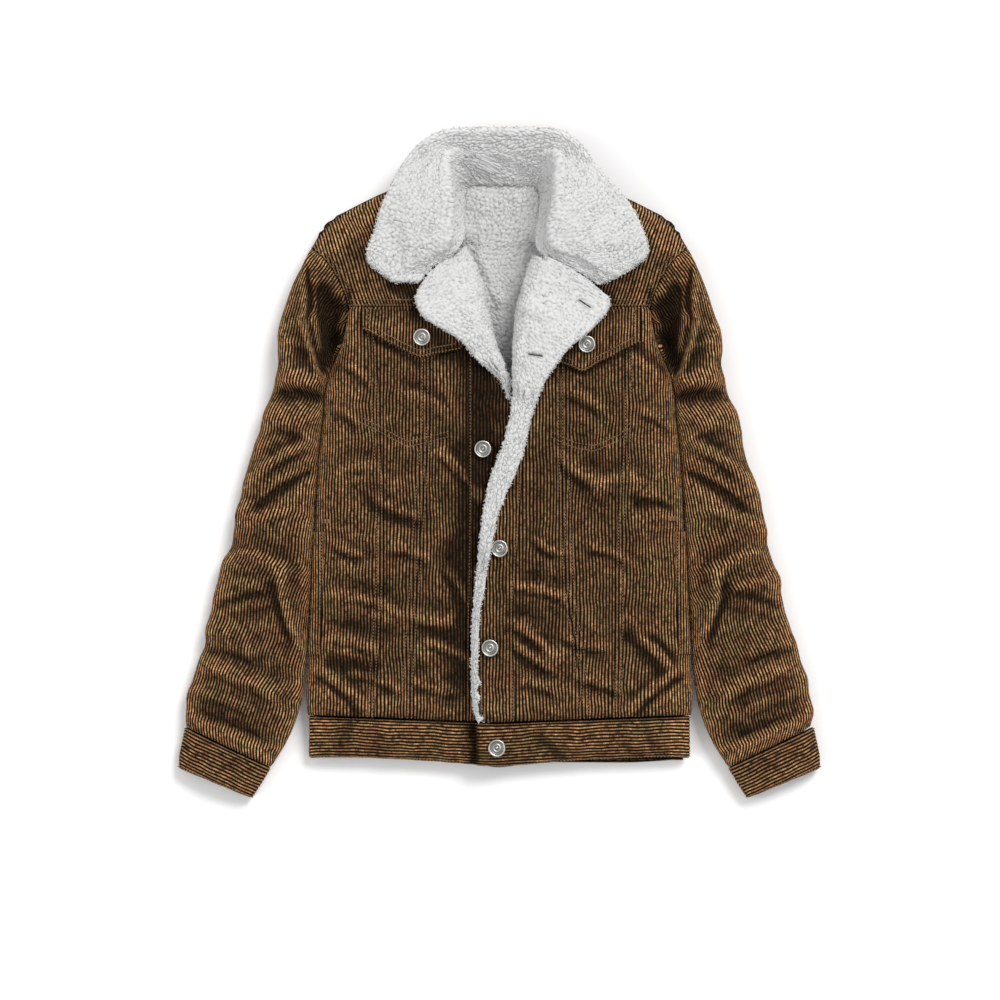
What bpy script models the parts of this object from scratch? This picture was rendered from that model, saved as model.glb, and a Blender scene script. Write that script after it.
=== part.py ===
"""Corduroy trucker jacket with a pile collar and facings, laid flat on its back, front up.

Sizes are millimetres and become metres when a mesh is made. +X is the wearer's left, +Y runs
from hem to collar, +Z is up, and z = 0 is the surface that the jacket lies on. Every piece of
cloth is an open surface through rows of points, thickened by a Solidify modifier. A piece that
lies on another takes its height from the surface under it, so nothing cuts through.
"""

import bisect
import math
from collections import namedtuple

import bmesh
import bpy
from mathutils import Vector
from mathutils.bvhtree import BVHTree

MM = 0.001  # millimetres to metres

# Driving sizes.
CLOTH = 3.0  # corduroy wall: cloth and backing
PILE = 6.0  # curly pile with its backing
FACING_PILE = 5.0  # the same pile, rolled round a front edge
BAND_CLOTH = 4.5  # waistband and cuffs: doubled cloth
FLAP_CLOTH = 3.4  # pocket flaps: doubled cloth
WELT_CLOTH = 1.8
SEAM_GAP = 0.3
PANEL_GAP = 0.7  # between curved panels, whose inner faces lean together
LAID_GAP = 0.45  # between a piece and what it lies on
SEAT = CLOTH + SEAM_GAP  # height at which a rolled edge meets the back panels
SIDE_TUCK = 16.0  # how far a side roll turns back in under itself
BACK_INSET = 8.0  # how far the back panels end inside the side rolls
SLEEVE_GAP = 0.8
YOKE_SEAM_Y = 179.0
BACK_YOKE_Y = 190.0
BAND_TOP_Y = -290.0
BAND_DIP = 8.0  # the waist seam is this much lower in the middle
HALF_BODY = 210.0  # about half the body's width
CROWN_FALL = 0.11  # share by which the front is lower at half that width
NECK_BACK_Y = 322.0
OVERLAP_LIFT = 9.2  # the left front lies on the right one
OVERLAP_SINK = 5.5
OVERLAP_SPAN = 60.0
UNDER_GAP = 1.65  # between a front's underside and the facing rolled under it
UNDER_LEG = 6.0  # how far a facing runs under the front past its roll
LAPEL_INSET = 4.0  # how far a lapel's cloth stays inside its facing's edge
REST_TURNS = 12  # directions in which the ground round a place is felt
LAPEL_GAP = 0.8  # between the layers of a lapel
LAPEL_REACH = 11.0  # half the largest cell of a lapel's grid
FACING_ROLL = 8.0  # how far inside a facing's rolled edge the folded cloth ends

EdgeRow = namedtuple("EdgeRow", "y edge widest radius")
SIDE_EDGE = [  # half width of the body, height of its widest place, radius of its side roll
    EdgeRow(184, 171, 38, 12),
    EdgeRow(136, 181, 31, 24),
    EdgeRow(95, 198, 26, 38),
    EdgeRow(49, 203, 25, 44),
    EdgeRow(3, 208, 25, 45),
    EdgeRow(-89, 212, 24, 45),
    EdgeRow(-181, 216, 22, 42),
    EdgeRow(-227, 219, 21, 40),
    EdgeRow(-261, 222, 20, 34),
    EdgeRow(-300, 221, 15, 26),
    EdgeRow(-350, 219, 12, 22),
]

CrownRow = namedtuple("CrownRow", "y crown")
CROWN = [  # height of the fronts in the middle
    CrownRow(330, 36),
    CrownRow(300, 41),
    CrownRow(248, 46),
    CrownRow(180, 51),
    CrownRow(100, 56),
    CrownRow(0, 55),
    CrownRow(-100, 51),
    CrownRow(-200, 48),
    CrownRow(-250, 47),
    CrownRow(-278, 43),
    CrownRow(-300, 33),
]

SeamRow = namedtuple("SeamRow", "y outer inner placket opening")
RIGHT_SEAMS = [  # wearer's right front: two seams, the placket's seam, the folded or free edge
    SeamRow(190, -147, -78, -54, -42),
    SeamRow(171, -145, -78, -46, -33),
    SeamRow(151, -143, -79, -39, -25),
    SeamRow(132, -141, -79, -36, -16),
    SeamRow(112, -140, -80, -36, -9),
    SeamRow(96, -139, -80, -36, -3),
    SeamRow(84, -138, -80, -36, 11),
    SeamRow(49, -137, -80, -36, 14),
    SeamRow(-43, -133, -88, -36, 14),
    SeamRow(-135, -133, -94, -37, 12),
    SeamRow(-227, -139, -101, -39, 8),
    SeamRow(-300, -144, -104, -39, 8),
]
LEFT_SEAMS = [
    SeamRow(190, 148, 70, 54, 42),
    SeamRow(165, 146, 70, 45, 33),
    SeamRow(139, 144, 70, 40, 29),
    SeamRow(115, 143, 70, 37, 25.5),
    SeamRow(92, 143, 70, 35, 22.5),
    SeamRow(69, 142, 70, 34, 21.5),
    SeamRow(46, 142, 70, 32, 19),
    SeamRow(21, 141, 70, 28, 12),
    SeamRow(-5, 139, 71, 26, 2),
    SeamRow(-32, 137, 72, 25, -6),
    SeamRow(-60, 135, 73, 23, -11),
    SeamRow(-92, 134, 74, 21, -15),
    SeamRow(-129, 133, 76, 18, -20),
    SeamRow(-165, 133, 80, 16, -24),
    SeamRow(-205, 132, 87, 16, -26),
    SeamRow(-245, 131, 91, 17, -25),
    SeamRow(-300, 129, 96, 18, -18),
]

FRONT_PLAN = [  # the panels of a front from side to opening: name, its two seams, columns
    ("front_side", "side", "outer", 6),
    ("front_middle", "outer", "inner", 4),
    ("front_centre", "inner", "placket", 3),
    ("placket", "placket", "opening", 3),
]

Fold = namedtuple("Fold", "x0 y0 x1 y1 width height")
FRONT_FOLDS = [  # soft ridges, and troughs with a height below zero
    Fold(-68, 9, -28, -35, 13, 5),
    Fold(-182, -14, -149, -8, 13, 4),
    Fold(-143, -43, -91, -66, 16, -4),
    Fold(-182, -158, -132, -171, 12, 4),
    Fold(-132, -171, -63, -181, 12, 4),
    Fold(-84, -209, -34, -227, 13, 4),
    Fold(-195, -204, -149, -215, 13, 5),
    Fold(-190, -228, -150, -236, 12, -4),
    Fold(72, 6, 116, -25, 14, 4),
    Fold(116, -25, 150, -20, 14, 4),
    Fold(162, -43, 195, -43, 12, -4),
    Fold(22, -146, 75, -154, 13, 4),
    Fold(26, -190, 62, -222, 13, 4),
    Fold(150, -200, 196, -246, 14, -4),
    Fold(-196, -262, -150, -284, 12, 4),
    Fold(196, -262, 150, -284, 12, 4),
]
SLEEVE_FOLDS = [  # on the right sleeve; the left one mirrors them
    Fold(-226, 224, -225, 164, 12, 5),
    Fold(-225, 164, -204, 96, 12, 5),
    Fold(-203, 196, -196, 120, 10, -9),
    Fold(-256, 98, -212, 95, 10, 4),
    Fold(-262, 82, -206, 76, 10, -7),
    Fold(-281, -14, -212, 24, 12, 4),
    Fold(-276, -43, -212, -4, 12, -5),
    Fold(-300, -103, -252, -123, 11, 4),
    Fold(-252, -129, -230, -206, 11, 4),
    Fold(-322, -170, -270, -160, 14, -4),
    Fold(-340, -232, -262, -262, 13, 4),
    Fold(-356, -298, -262, -338, 11, 4),
]

SleeveRow = namedtuple("SleeveRow", "outer_x outer_y inner_x inner_y height cap")
SLEEVE = [  # the right sleeve's two edges, its height, and how far it keeps the armhole's form
    SleeveRow(-216, 248, -197, 86, 46, 1.0),
    SleeveRow(-231, 219, -201, 68, 47, 0.5),
    SleeveRow(-244, 186, -203, 48, 47, 0.18),
    SleeveRow(-255, 145, -206, 24, 46, 0.0),
    SleeveRow(-259, 92, -208, -5, 45, 0.0),
    SleeveRow(-273, 54, -211, -38, 44, 0.0),
    SleeveRow(-284, 8, -213, -75, 43, 0.0),
    SleeveRow(-297, -33, -215, -108, 42, 0.0),
    SleeveRow(-307, -82, -217, -145, 41, 0.0),
    SleeveRow(-321, -128, -219, -180, 40, 0.0),
    SleeveRow(-331, -172, -221, -215, 39, 0.0),
    SleeveRow(-343, -215, -224, -248, 38, 0.0),
    SleeveRow(-354, -252, -229, -280, 37, 0.0),
    SleeveRow(-360, -283, -243, -317, 35, 0.0),
    SleeveRow(-361.5, -303, -263, -350, 31, 0.0),
]
CUFF = [
    SleeveRow(-361.8, -303.6, -263.3, -350.6, 30, 0.0),
    SleeveRow(-366, -322, -272, -366, 30, 0.0),
    SleeveRow(-369, -338, -279, -377, 29, 0.0),
    SleeveRow(-370, -351, -285, -386, 25, 0.0),
]
ARMHOLE_FRONT_BOW = (32.0, 8.0)  # how far the armhole curves into the body, in front
ARMHOLE_BACK_BOW = (5.0, 0.0)  # and behind
ARMHOLE_SINK = 5.0  # the armhole seam lies this much lower than the cloth beside it
ARMHOLE_SOFT = 12.0  # how far from the seam the cloth still dips
ARM_EASE = 40.0  # length over which the back's armhole edge runs into its side
YOKE_CORNER = 0.02  # where the yoke seam meets the armhole, on armhole()'s scale

SHOULDER = [  # right shoulder edge, from the sleeve to the neck
    (-216, 248), (-205, 264), (-190, 280), (-160, 298), (-126, 313), (-97, 320), (-66, 322),
]
SHOULDER_WIDEST = 15.0
SHOULDER_ROLL = 26.0
SHOULDER_TUCK = 12.0
YOKE_GRID = (11, 8)
BACK_YOKE_GRID = (20, 4)
RIGHT_NECK = [(-68, 320), (-68, 291), (-64, 262), (-60, 231), (-49, 205), (-37.5, 179.4)]
LEFT_NECK = [(75, 320), (74, 291), (68, 262), (58, 230), (48, 205), (38, 179.4)]

CollarRow = namedtuple(
    "CollarRow", "neck_x neck_y neck_z roll_x roll_y roll_z edge_x edge_y edge_z fold"
)
COLLAR = [  # neck seam, roll and free edge, from the right leaf's front edge round to the left's
    CollarRow(-90, 207, 50, -122, 208, 51, -150, 229, 49, 0.0),
    CollarRow(-79, 221, 50, -108, 223, 54, -152, 239, 49, 0.0),
    CollarRow(-65.5, 234, 53, -82, 240, 61, -149, 251, 49, 0.2),
    CollarRow(-50, 244, 55, -62, 250, 67, -144, 264, 49, 0.8),
    CollarRow(-43, 258, 42, -58, 264, 69, -140, 276, 50, 1.0),
    CollarRow(-43, 276, 28, -58, 282, 69, -136, 290, 52, 1.0),
    CollarRow(-43, 296, 16, -59, 302, 67, -129, 307, 53, 1.0),
    CollarRow(-42, 311, 8.5, -61, 324, 62, -119, 326, 53, 1.0),
    CollarRow(-37, 319, 7.2, -62, 342, 55, -108, 346, 52, 0.7),
    CollarRow(-26, 322, 7, -54, 357, 43, -90, 367, 51, 0.3),
    CollarRow(-14, 322, 7, -34, 356, 31, -60, 381, 46, 0.0),
    CollarRow(4, 322, 7, 3, 355, 27, 3, 383, 40, 0.0),
    CollarRow(24, 322, 7, 40, 356, 31, 63, 381, 46, 0.0),
    CollarRow(34, 322, 7, 62, 356, 43, 91, 367, 51, 0.3),
    CollarRow(44, 319, 7.2, 69, 340, 56, 108, 343, 52, 0.7),
    CollarRow(49, 309, 8.5, 68, 322, 64, 127, 322, 53, 1.0),
    CollarRow(49, 293, 17, 66, 301, 69, 147, 300, 54, 1.0),
    CollarRow(47, 273, 29, 63, 283, 71, 157, 282, 53, 1.0),
    CollarRow(44, 254, 43, 60, 266, 71, 164, 266, 52, 1.0),
    CollarRow(50, 239, 56, 64, 250, 70, 168, 255, 52, 0.8),
    CollarRow(68, 231.5, 58, 90, 238, 66, 169, 249, 52, 0.2),
    CollarRow(91.5, 218.5, 56, 118, 225, 60, 170, 243, 52, 0.0),
    CollarRow(114, 203.5, 54, 141, 216, 56, 168, 236, 52, 0.0),
]

COLLAR_ROUND = 1.4  # above 1, a folded leaf leaves its roll level before it falls

LapelRow = namedtuple("LapelRow", "roll_x roll_y edge_x edge_y inward sunk")
RIGHT_LAPEL = [  # roll, free edge, swelling into the neck, share that falls to the lining
    LapelRow(-54, 236, -90, 205, 20, 1.0),
    LapelRow(-45, 216, -96, 187, 20, 1.0),
    LapelRow(-35, 195, -87, 168, 18, 1.0),
    LapelRow(-26, 175, -64, 153, 14, 1.0),
    LapelRow(-18, 156, -42, 139, 10, 0.9),
    LapelRow(-10, 138, -24, 122, 6, 0.6),
    LapelRow(-3, 119, -10, 103, 2, 0.3),
    LapelRow(2, 103, -1, 88, 0, 0.0),
]
LEFT_LAPEL = [
    LapelRow(50, 233, 112, 202, 12, 1.0),
    LapelRow(42, 212, 126, 181, 12, 1.0),
    LapelRow(33, 189, 109, 158, 10, 1.0),
    LapelRow(26, 168, 90, 140, 8, 1.0),
    LapelRow(22, 142, 72, 122, 6, 0.8),
    LapelRow(18, 118, 58, 103, 3, 0.5),
    LapelRow(15, 95, 48, 83, 0, 0.2),
]
LEFT_EDGE = [  # the facing below the lapel, rolled over the front edge
    LapelRow(14, 72, 40, 63, 0, 0.0),
    LapelRow(11, 47, 34, 45, 0, 0.0),
    LapelRow(4, 21, 29, 22, 0, 0.0),
    LapelRow(-6, -5, 21, -5, 0, 0.0),
    LapelRow(-14, -32, 9, -32, 0, 0.0),
    LapelRow(-19, -60, -1, -60, 0, 0.0),
    LapelRow(-23, -92, -11.5, -92, 0, 0.0),
    LapelRow(-28, -129, -16, -129, 0, 0.0),
    LapelRow(-32, -165, -20, -165, 0, 0.0),
    LapelRow(-34, -205, -24, -205, 0, 0.0),
    LapelRow(-33, -242, -24, -242, 0, 0.0),
    LapelRow(-32, -260, -23, -260, 0, 0.0),
    LapelRow(-31, -276, -21, -276, 0, 0.0),
]
NECK_FLOOR = 13.0  # lowest place of a facing inside the neck, just over the lining

LiningRow = namedtuple("LiningRow", "y right left rise")
NECK_LINING = [  # inside back: its two ends, and how far they climb to the neck seam
    LiningRow(316, -30, 36, 0),
    LiningRow(306, -36, 42, 0),
    LiningRow(293, -36, 42, 3),
    LiningRow(276, -36, 40, 10),
    LiningRow(262, -38, 38, 16),
    LiningRow(253, -46, 46, 8),
    LiningRow(246, -60, 56, 0),
    LiningRow(225, -72, 66, 0),
    LiningRow(195, -66, 58, 0),
    LiningRow(165, -54, 50, 0),
    LiningRow(130, -34, 44, 0),
    LiningRow(100, -18, 38, 0),
    LiningRow(78, -10, 34, 0),
]
LINING_TOP = 11.0
LINING_PILE = 7.5

FlapRow = namedtuple("FlapRow", "x top bottom")
RIGHT_FLAP = [
    FlapRow(-158, 177.5, 154),
    FlapRow(-151, 177, 151),
    FlapRow(-136, 176, 143),
    FlapRow(-121, 175, 135),
    FlapRow(-106, 174, 127.5),
    FlapRow(-91, 174, 121),
    FlapRow(-76, 175, 124),
    FlapRow(-58, 176, 127),
    FlapRow(-42, 177, 130),
]
LEFT_FLAP = [
    FlapRow(53, 173, 120),
    FlapRow(67, 172, 115),
    FlapRow(82, 172, 110),
    FlapRow(96, 172, 105),
    FlapRow(112, 173, 114),
    FlapRow(128, 175, 122),
    FlapRow(145, 177, 131),
    FlapRow(162, 178, 140),
]

BUTTON_PROFILE = [  # radius and height, from the middle of the dished face to the back
    (0, 2.2), (5.6, 2.2), (7.3, 4.1), (8.7, 4.6), (10, 3.5), (10, 1.3), (8.6, 0), (0, 0),
]
BUTTON_SIDES = 20
BUTTON_GAP = 0.7
RIGHT_BUTTONS = {  # on the right flap and front; the first two lie under the lapel
    "button_flap_right": (-89, 144),
    "button_front_1": (-74, 190),
    "button_front_2": (-22, 132),
    "button_front_3": (-19, 16),
}
LEFT_BUTTONS = {  # on the left flap, and through the left front and waistband
    "button_flap_left": (100, 136),
    "button_front_4": (0, -98),
    "button_front_5": (-11, -212),
    "button_waist": (-3, -327),
}

WAIST_TAB_X = -26.0  # left end of the waistband, which laps over the right one
WAIST_UNDER_X = 9.0
BandRow = namedtuple("BandRow", "down height")
BAND = [  # height of the waistband's front, from the waist seam to the hem
    BandRow(0.0, 28),
    BandRow(0.2, 31),
    BandRow(0.55, 30),
    BandRow(0.85, 25),
    BandRow(1.0, 21),
]
BAND_WIDEST = 0.6  # share of its height at which the waistband's rolled side is widest
BAND_COLUMNS = 14
HEM_SIDE_Y = -338.0
HEM_DIP = 12.0
BACK_HEM_Y = -345.0

BACK_SEAM_TOP, BACK_SEAM_LOW = 95.0, 60.0  # half width of the middle back panel
FRONT_STEPS = 20  # rows of a front panel
WELT_ROWS = slice(11, 18)  # the rows of a side panel that the pocket welt lies on
WELT_COLUMNS = 3
BACK_STEPS = 12
FLAP_STEPS = 4
LAPEL_STEPS = 6
FACING_STEPS = 5
ROLL_ANGLES = (60, 30, 0, -30, -60, -90)
COLLAR_STAND, COLLAR_FALL = 3, 4  # steps from neck to roll, and from roll to edge
LINING_COLUMNS = 8
FLAP_REACH = 8.0  # half the largest cell of a flap's or the collar's grid
SIDE_CROWDING = 1.5  # above 1, a side panel's columns crowd towards its roll
TUCK_ANGLES = (28, 58, 90)
AROUND = 16  # points round a sleeve or a cuff
SLEEVE_WIDEST = 0.42  # share of its height at which a sleeve is widest
SLEEVE_TOP, SLEEVE_UNDER = 0.8, 0.6  # fullness of its section above and below that; 1 is a point
FLAT_SHARE = 0.75  # share of the way under at which a sleeve's section is flat
BODY_SIDE_LOW = -290.0  # down to here the sleeves keep clear of the body's sides

CORDUROY = ("corduroy", (0.145, 0.075, 0.032), 0.9, 0.0)
CURLY_PILE = ("curly_pile", (0.78, 0.76, 0.71), 0.95, 0.0)
METAL = ("antique_nickel", (0.30, 0.29, 0.27), 0.38, 1.0)


# Scene, materials and general curves


def clear_scene():
    """Removes what the start-up scene holds."""
    for obj in list(bpy.data.objects):
        bpy.data.objects.remove(obj, do_unlink=True)


def material(look):
    """One Principled material for each look, named for it."""
    name, colour, roughness, metallic = look
    found = bpy.data.materials.get(name)
    if found:
        return found
    made = bpy.data.materials.new(name)
    made.use_nodes = True
    shader = made.node_tree.nodes["Principled BSDF"]
    shader.inputs["Base Color"].default_value = (*colour, 1.0)
    shader.inputs["Roughness"].default_value = roughness
    shader.inputs["Metallic"].default_value = metallic
    return made


def mix(a, b, t):
    return a + (b - a) * t


def ease(t):
    """0 to 1 with level ends."""
    t = min(max(t, 0.0), 1.0)
    return t * t * (3 - 2 * t)


def rounded(t):
    """Quarter-circle rise from 0 to 1."""
    t = min(max(t, 0.0), 1.0)
    return math.sqrt(1 - (1 - t) ** 2)


def smooth_value(places, values, at):
    """Value at a place, on a smooth curve through values whose places rise."""
    at = min(max(at, places[0]), places[-1])
    last = len(places) - 1
    i = min(max(bisect.bisect_right(places, at) - 1, 0), last - 1)

    def slope(k):
        low = max(k - 1, 0)
        high = min(k + 1, last)
        return (values[high] - values[low]) / (places[high] - places[low])

    span = places[i + 1] - places[i]
    t = (at - places[i]) / span
    level = values[i] + (values[i + 1] - values[i]) * t * t * (3 - 2 * t)
    return level + span * (slope(i) * t * (1 - t) ** 2 - slope(i + 1) * t * t * (1 - t))


def row_between(table, place):
    """A table's row at a place counted in rows, such as 2.5."""
    places = range(len(table))
    return type(table[0])(*(smooth_value(places, column, place) for column in zip(*table)))


def row_at_y(table, y):
    """A table's row at a height y; its rows run from high y to low."""
    places = [-row.y for row in table]
    return type(table[0])(*(smooth_value(places, column, -y) for column in zip(*table)))


def stations(table, per_row):
    """The table's rows with others between them, per_row to each step."""
    steps = (len(table) - 1) * per_row
    return [row_between(table, i / per_row) for i in range(steps + 1)]


def line_point(points, t):
    """A place along a smooth line through points, from 0 to 1."""
    runs = [0.0]
    for a, b in zip(points, points[1:]):
        runs.append(runs[-1] + math.dist(a, b))
    at = t * runs[-1]
    return tuple(smooth_value(runs, values, at) for values in zip(*points))


def patch(top, bottom, left, right, u, v):
    """A place inside four joined sides, each a function from 0 to 1 (a Coons patch)."""
    place = []
    for axis in (0, 1):
        rows = mix(top(u)[axis], bottom(u)[axis], v)
        columns = mix(left(v)[axis], right(v)[axis], u)
        upper = mix(top(0)[axis], top(1)[axis], u)
        lower = mix(bottom(0)[axis], bottom(1)[axis], u)
        place.append(rows + columns - mix(upper, lower, v))
    return tuple(place)


# Making cloth and laying it


def finish(obj, look, collection):
    """Gives an object its material and its collection."""
    obj.data.materials.append(material(look))
    collection.objects.link(obj)
    return obj


def sheet(name, rows, thickness, look, collection, offset=-1.0):
    """A wall of cloth: a grid placed on rows of points, then thickened.

    Rows run down and points across, so that the grid faces outwards. Where each row ends
    on its first point, the grid becomes a tube. The offset is -1 where the points are the
    outer face and 1 where they are the inner one.
    """
    down, across = len(rows) - 1, len(rows[0]) - 1
    bm = bmesh.new()
    bmesh.ops.create_grid(bm, x_segments=across, y_segments=down, size=1.0)
    for vert in bm.verts:
        column = round((vert.co.x + 1) / 2 * across)
        row = round((1 - vert.co.y) / 2 * down)
        vert.co = Vector(rows[row][column]) * MM
    if rows[0][0] == rows[0][-1]:
        bmesh.ops.remove_doubles(bm, verts=bm.verts, dist=0.01 * MM)
    mesh = bpy.data.meshes.new(name)
    bm.to_mesh(mesh)
    bm.free()
    mesh.shade_smooth()
    obj = bpy.data.objects.new(name, mesh)
    wall = obj.modifiers.new("wall", "SOLIDIFY")
    wall.thickness = thickness * MM
    wall.offset = offset
    wall.use_quality_normals = True
    return finish(obj, look, collection)


def moved_out(rows, distance):
    """A grid of points moved along its own outward normals."""
    moved = []
    for j, row in enumerate(rows):
        line = []
        for i, point in enumerate(row):
            across = Vector(row[min(i + 1, len(row) - 1)]) - Vector(row[max(i - 1, 0)])
            down = Vector(rows[min(j + 1, len(rows) - 1)][i]) - Vector(rows[max(j - 1, 0)][i])
            line.append(tuple(Vector(point) + down.cross(across).normalized() * distance))
        moved.append(line)
    return moved


class Ground:
    """The surfaces laid so far, to lay the next piece on."""

    RAY_FROM = 200.0

    def __init__(self, *objs):
        self.trees = []
        for obj in objs:
            self.add(obj)

    def add(self, obj):
        """Adds a piece; returns it."""
        bpy.context.view_layer.update()
        graph = bpy.context.evaluated_depsgraph_get()
        evaluated = obj.evaluated_get(graph)
        mesh = evaluated.to_mesh()
        points = [evaluated.matrix_world @ vert.co / MM for vert in mesh.vertices]
        faces = [tuple(face.vertices) for face in mesh.polygons]
        self.trees.append(BVHTree.FromPolygons(points, faces))
        evaluated.to_mesh_clear()
        return obj

    def rest(self, x, y, reach):
        """Height of the highest surface within reach of a place, or None over nothing."""
        places = [(x, y)]
        for turn in range(REST_TURNS):
            angle = 2 * math.pi * turn / REST_TURNS
            for part in (reach / 2, 0.8 * reach, reach):
                places.append((x + part * math.cos(angle), y + part * math.sin(angle)))
        tops = []
        for place in places:
            start = Vector((*place, self.RAY_FROM))
            for tree in self.trees:
                hit = tree.ray_cast(start, Vector((0, 0, -1)))[0]
                if hit:
                    tops.append(hit.z)
        return max(tops, default=None)


def fold_relief(folds, x, y):
    """Height that the folds add at a place."""
    total = 0.0
    for fold in folds:
        run_x = fold.x1 - fold.x0
        run_y = fold.y1 - fold.y0
        t = ((x - fold.x0) * run_x + (y - fold.y0) * run_y) / (run_x**2 + run_y**2)
        t = min(max(t, 0.0), 1.0)
        away = (x - fold.x0 - t * run_x) ** 2 + (y - fold.y0 - t * run_y) ** 2
        total += fold.height * math.exp(-away / fold.width**2)
    return total


# Fronts


def overlap(side, x, opening):
    """How far the left front rises over the right one, or the right one sinks, at x."""
    if side > 0:
        return OVERLAP_LIFT * (1 - ease((x - opening) / OVERLAP_SPAN))
    return -OVERLAP_SINK * ease((x + OVERLAP_SPAN) / OVERLAP_SPAN)


def crowned(x):
    """Share of its middle height that the front keeps at x."""
    return 1 - CROWN_FALL * (x / HALF_BODY) ** 2


def middle_share(x):
    """1 in the middle of the body, falling to 0 at its sides."""
    return 1 - min(abs(x) / HALF_BODY, 1)


def front_height(side, x, y):
    """Outer height of a front, side -1 for the wearer's right and 1 for the left."""
    crown = row_at_y(CROWN, y).crown
    height = crown * crowned(x) + fold_relief(FRONT_FOLDS, x, y)
    height += overlap(side, x, row_at_y(LEFT_SEAMS, y).opening)
    edge = row_at_y(SIDE_EDGE, y)
    inside = edge.edge - abs(x)
    if y > YOKE_SEAM_Y or inside >= edge.radius:
        return height
    return mix(edge.widest, height, rounded(inside / edge.radius))


def front_y(x, v):
    """y at a share v of the way from the yoke seam to the waist seam."""
    return mix(YOKE_SEAM_Y, BAND_TOP_Y, v) - v * BAND_DIP * middle_share(x)


def side_tuck(side, edge, seat, y):
    """Points that turn in under a side roll, from its widest place to the back panel."""
    points = []
    for angle in TUCK_ANGLES:
        turn = math.radians(angle)
        x = side * (edge.edge - SIDE_TUCK * (1 - math.cos(turn)))
        points.append((x, y, mix(edge.widest, seat, math.sin(turn))))
    return points


def front_rows(side, start, end, columns):
    """Rows of a front between two of its seams, named by their column of the seam table,
    or "side" for the rolled side edge."""
    seams = LEFT_SEAMS if side > 0 else RIGHT_SEAMS
    rows = []
    for step in range(FRONT_STEPS + 1):
        v = step / FRONT_STEPS
        y = mix(YOKE_SEAM_Y, BAND_TOP_Y, v)
        edge = row_at_y(SIDE_EDGE, y)
        ends = {"side": side * edge.edge, **row_at_y(seams, y)._asdict()}
        low = ends[start] + (0 if start == "side" else PANEL_GAP / 2)
        high = ends[end] - (0 if end == "side" else PANEL_GAP / 2)
        row = []
        for i in range(columns + 1):
            t = i / columns
            if start == "side":
                t = t**SIDE_CROWDING
            if end == "side":
                t = 1 - (1 - t) ** SIDE_CROWDING
            x = mix(low, high, t)
            row.append((x, front_y(x, v), front_height(side, x, front_y(x, v))))
        tucked = side_tuck(side, edge, SEAT, front_y(side * edge.edge, v))
        if start == "side":
            row = tucked[::-1] + row
        if end == "side":
            row = row + tucked
        rows.append(row)
    return rows


def fronts(side, word, collection):
    """The panels, placket and pocket welt of one front, without its yoke."""
    made = []
    for name, start, end, columns in FRONT_PLAN:
        if side > 0:
            start, end = end, start
        rows = front_rows(side, start, end, columns)
        made.append(sheet(f"{name}_{word}", rows, CLOTH, CORDUROY, collection))
        if name == "front_side":
            low = len(TUCK_ANGLES) + 1
            high = low + WELT_COLUMNS
            band = slice(low, high) if side < 0 else slice(-high, -low)
            welt = moved_out([row[band] for row in rows[WELT_ROWS]], LAID_GAP)
            sheet(f"pocket_welt_{word}", welt, WELT_CLOTH, CORDUROY, collection, 1.0)
    return made


def armhole(place, bow, gap):
    """A place on the right armhole: -1 at the shoulder, 1 under the arm."""
    first = SLEEVE[0]
    curve = 1 - place**2
    x = mix(first.outer_x, first.inner_x, (place + 1) / 2) + bow[0] * curve + gap
    y = mix(first.outer_y, first.inner_y, (place + 1) / 2) + bow[1] * curve
    return x, y


def shoulder_height(away, full):
    """Height of the shoulder roll at a distance in from its edge."""
    return mix(SHOULDER_WIDEST, full, rounded(away / SHOULDER_ROLL))


def yoke_rows(side):
    """Rows of a front yoke, from under its shoulder edge down to the yoke seam."""
    neck = RIGHT_NECK if side < 0 else [(-x, y) for x, y in LEFT_NECK]
    shoulder = SHOULDER[:-1] + [neck[0]]
    corner = armhole(YOKE_CORNER, ARMHOLE_FRONT_BOW, SLEEVE_GAP)
    corner = (corner[0], YOKE_SEAM_Y + SEAM_GAP)
    columns, steps = YOKE_GRID

    def top(u):
        return line_point(shoulder, u)

    def bottom(u):
        return mix(corner[0], neck[-1][0], u), mix(corner[1], neck[-1][1], u)

    def arm(v):
        x, y = armhole(mix(-1, YOKE_CORNER, v), ARMHOLE_FRONT_BOW, SLEEVE_GAP)
        return x, mix(y, corner[1], v**6)

    def hole(v):
        return line_point(neck, v)

    rows = []
    for j in range(-len(TUCK_ANGLES), steps + 1):
        row = []
        for i in range(columns + 1):
            u = i / columns
            if j >= 0:
                x, y = patch(top, bottom, arm, hole, u, j / steps)
                away = math.dist((x, y), top(u)) if j else 0.0
                near = math.dist((x, y), arm(j / steps)) / ARMHOLE_SOFT
                sink = ARMHOLE_SINK * math.exp(-(near**2))
                z = shoulder_height(away, front_height(side, -side * x, y) - sink)
            else:
                turn = math.radians(TUCK_ANGLES[-j - 1])
                run = Vector(top(min(u + 0.02, 1))) - Vector(top(max(u - 0.02, 0)))
                run.normalize()
                tuck = SHOULDER_TUCK * (1 - math.cos(turn))
                x, y = top(u)[0] + run.y * tuck, top(u)[1] - run.x * tuck
                z = mix(SHOULDER_WIDEST, SEAT, math.sin(turn))
            row.append((-side * x, y, z))
        rows.append(row if side < 0 else row[::-1])
    return rows


# Back and waistband


def back_edge(y):
    """Half width of the back panels at y."""
    first = SLEEVE[0]
    side = row_at_y(SIDE_EDGE, y).edge - BACK_INSET
    if y < first.inner_y - ARM_EASE:
        return side
    place = min(2 * (first.outer_y - y) / (first.outer_y - first.inner_y) - 1, 1)
    arm = -armhole(place, ARMHOLE_BACK_BOW, SLEEVE_GAP)[0]
    return mix(arm, side, ease((first.inner_y - y) / ARM_EASE))


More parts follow.
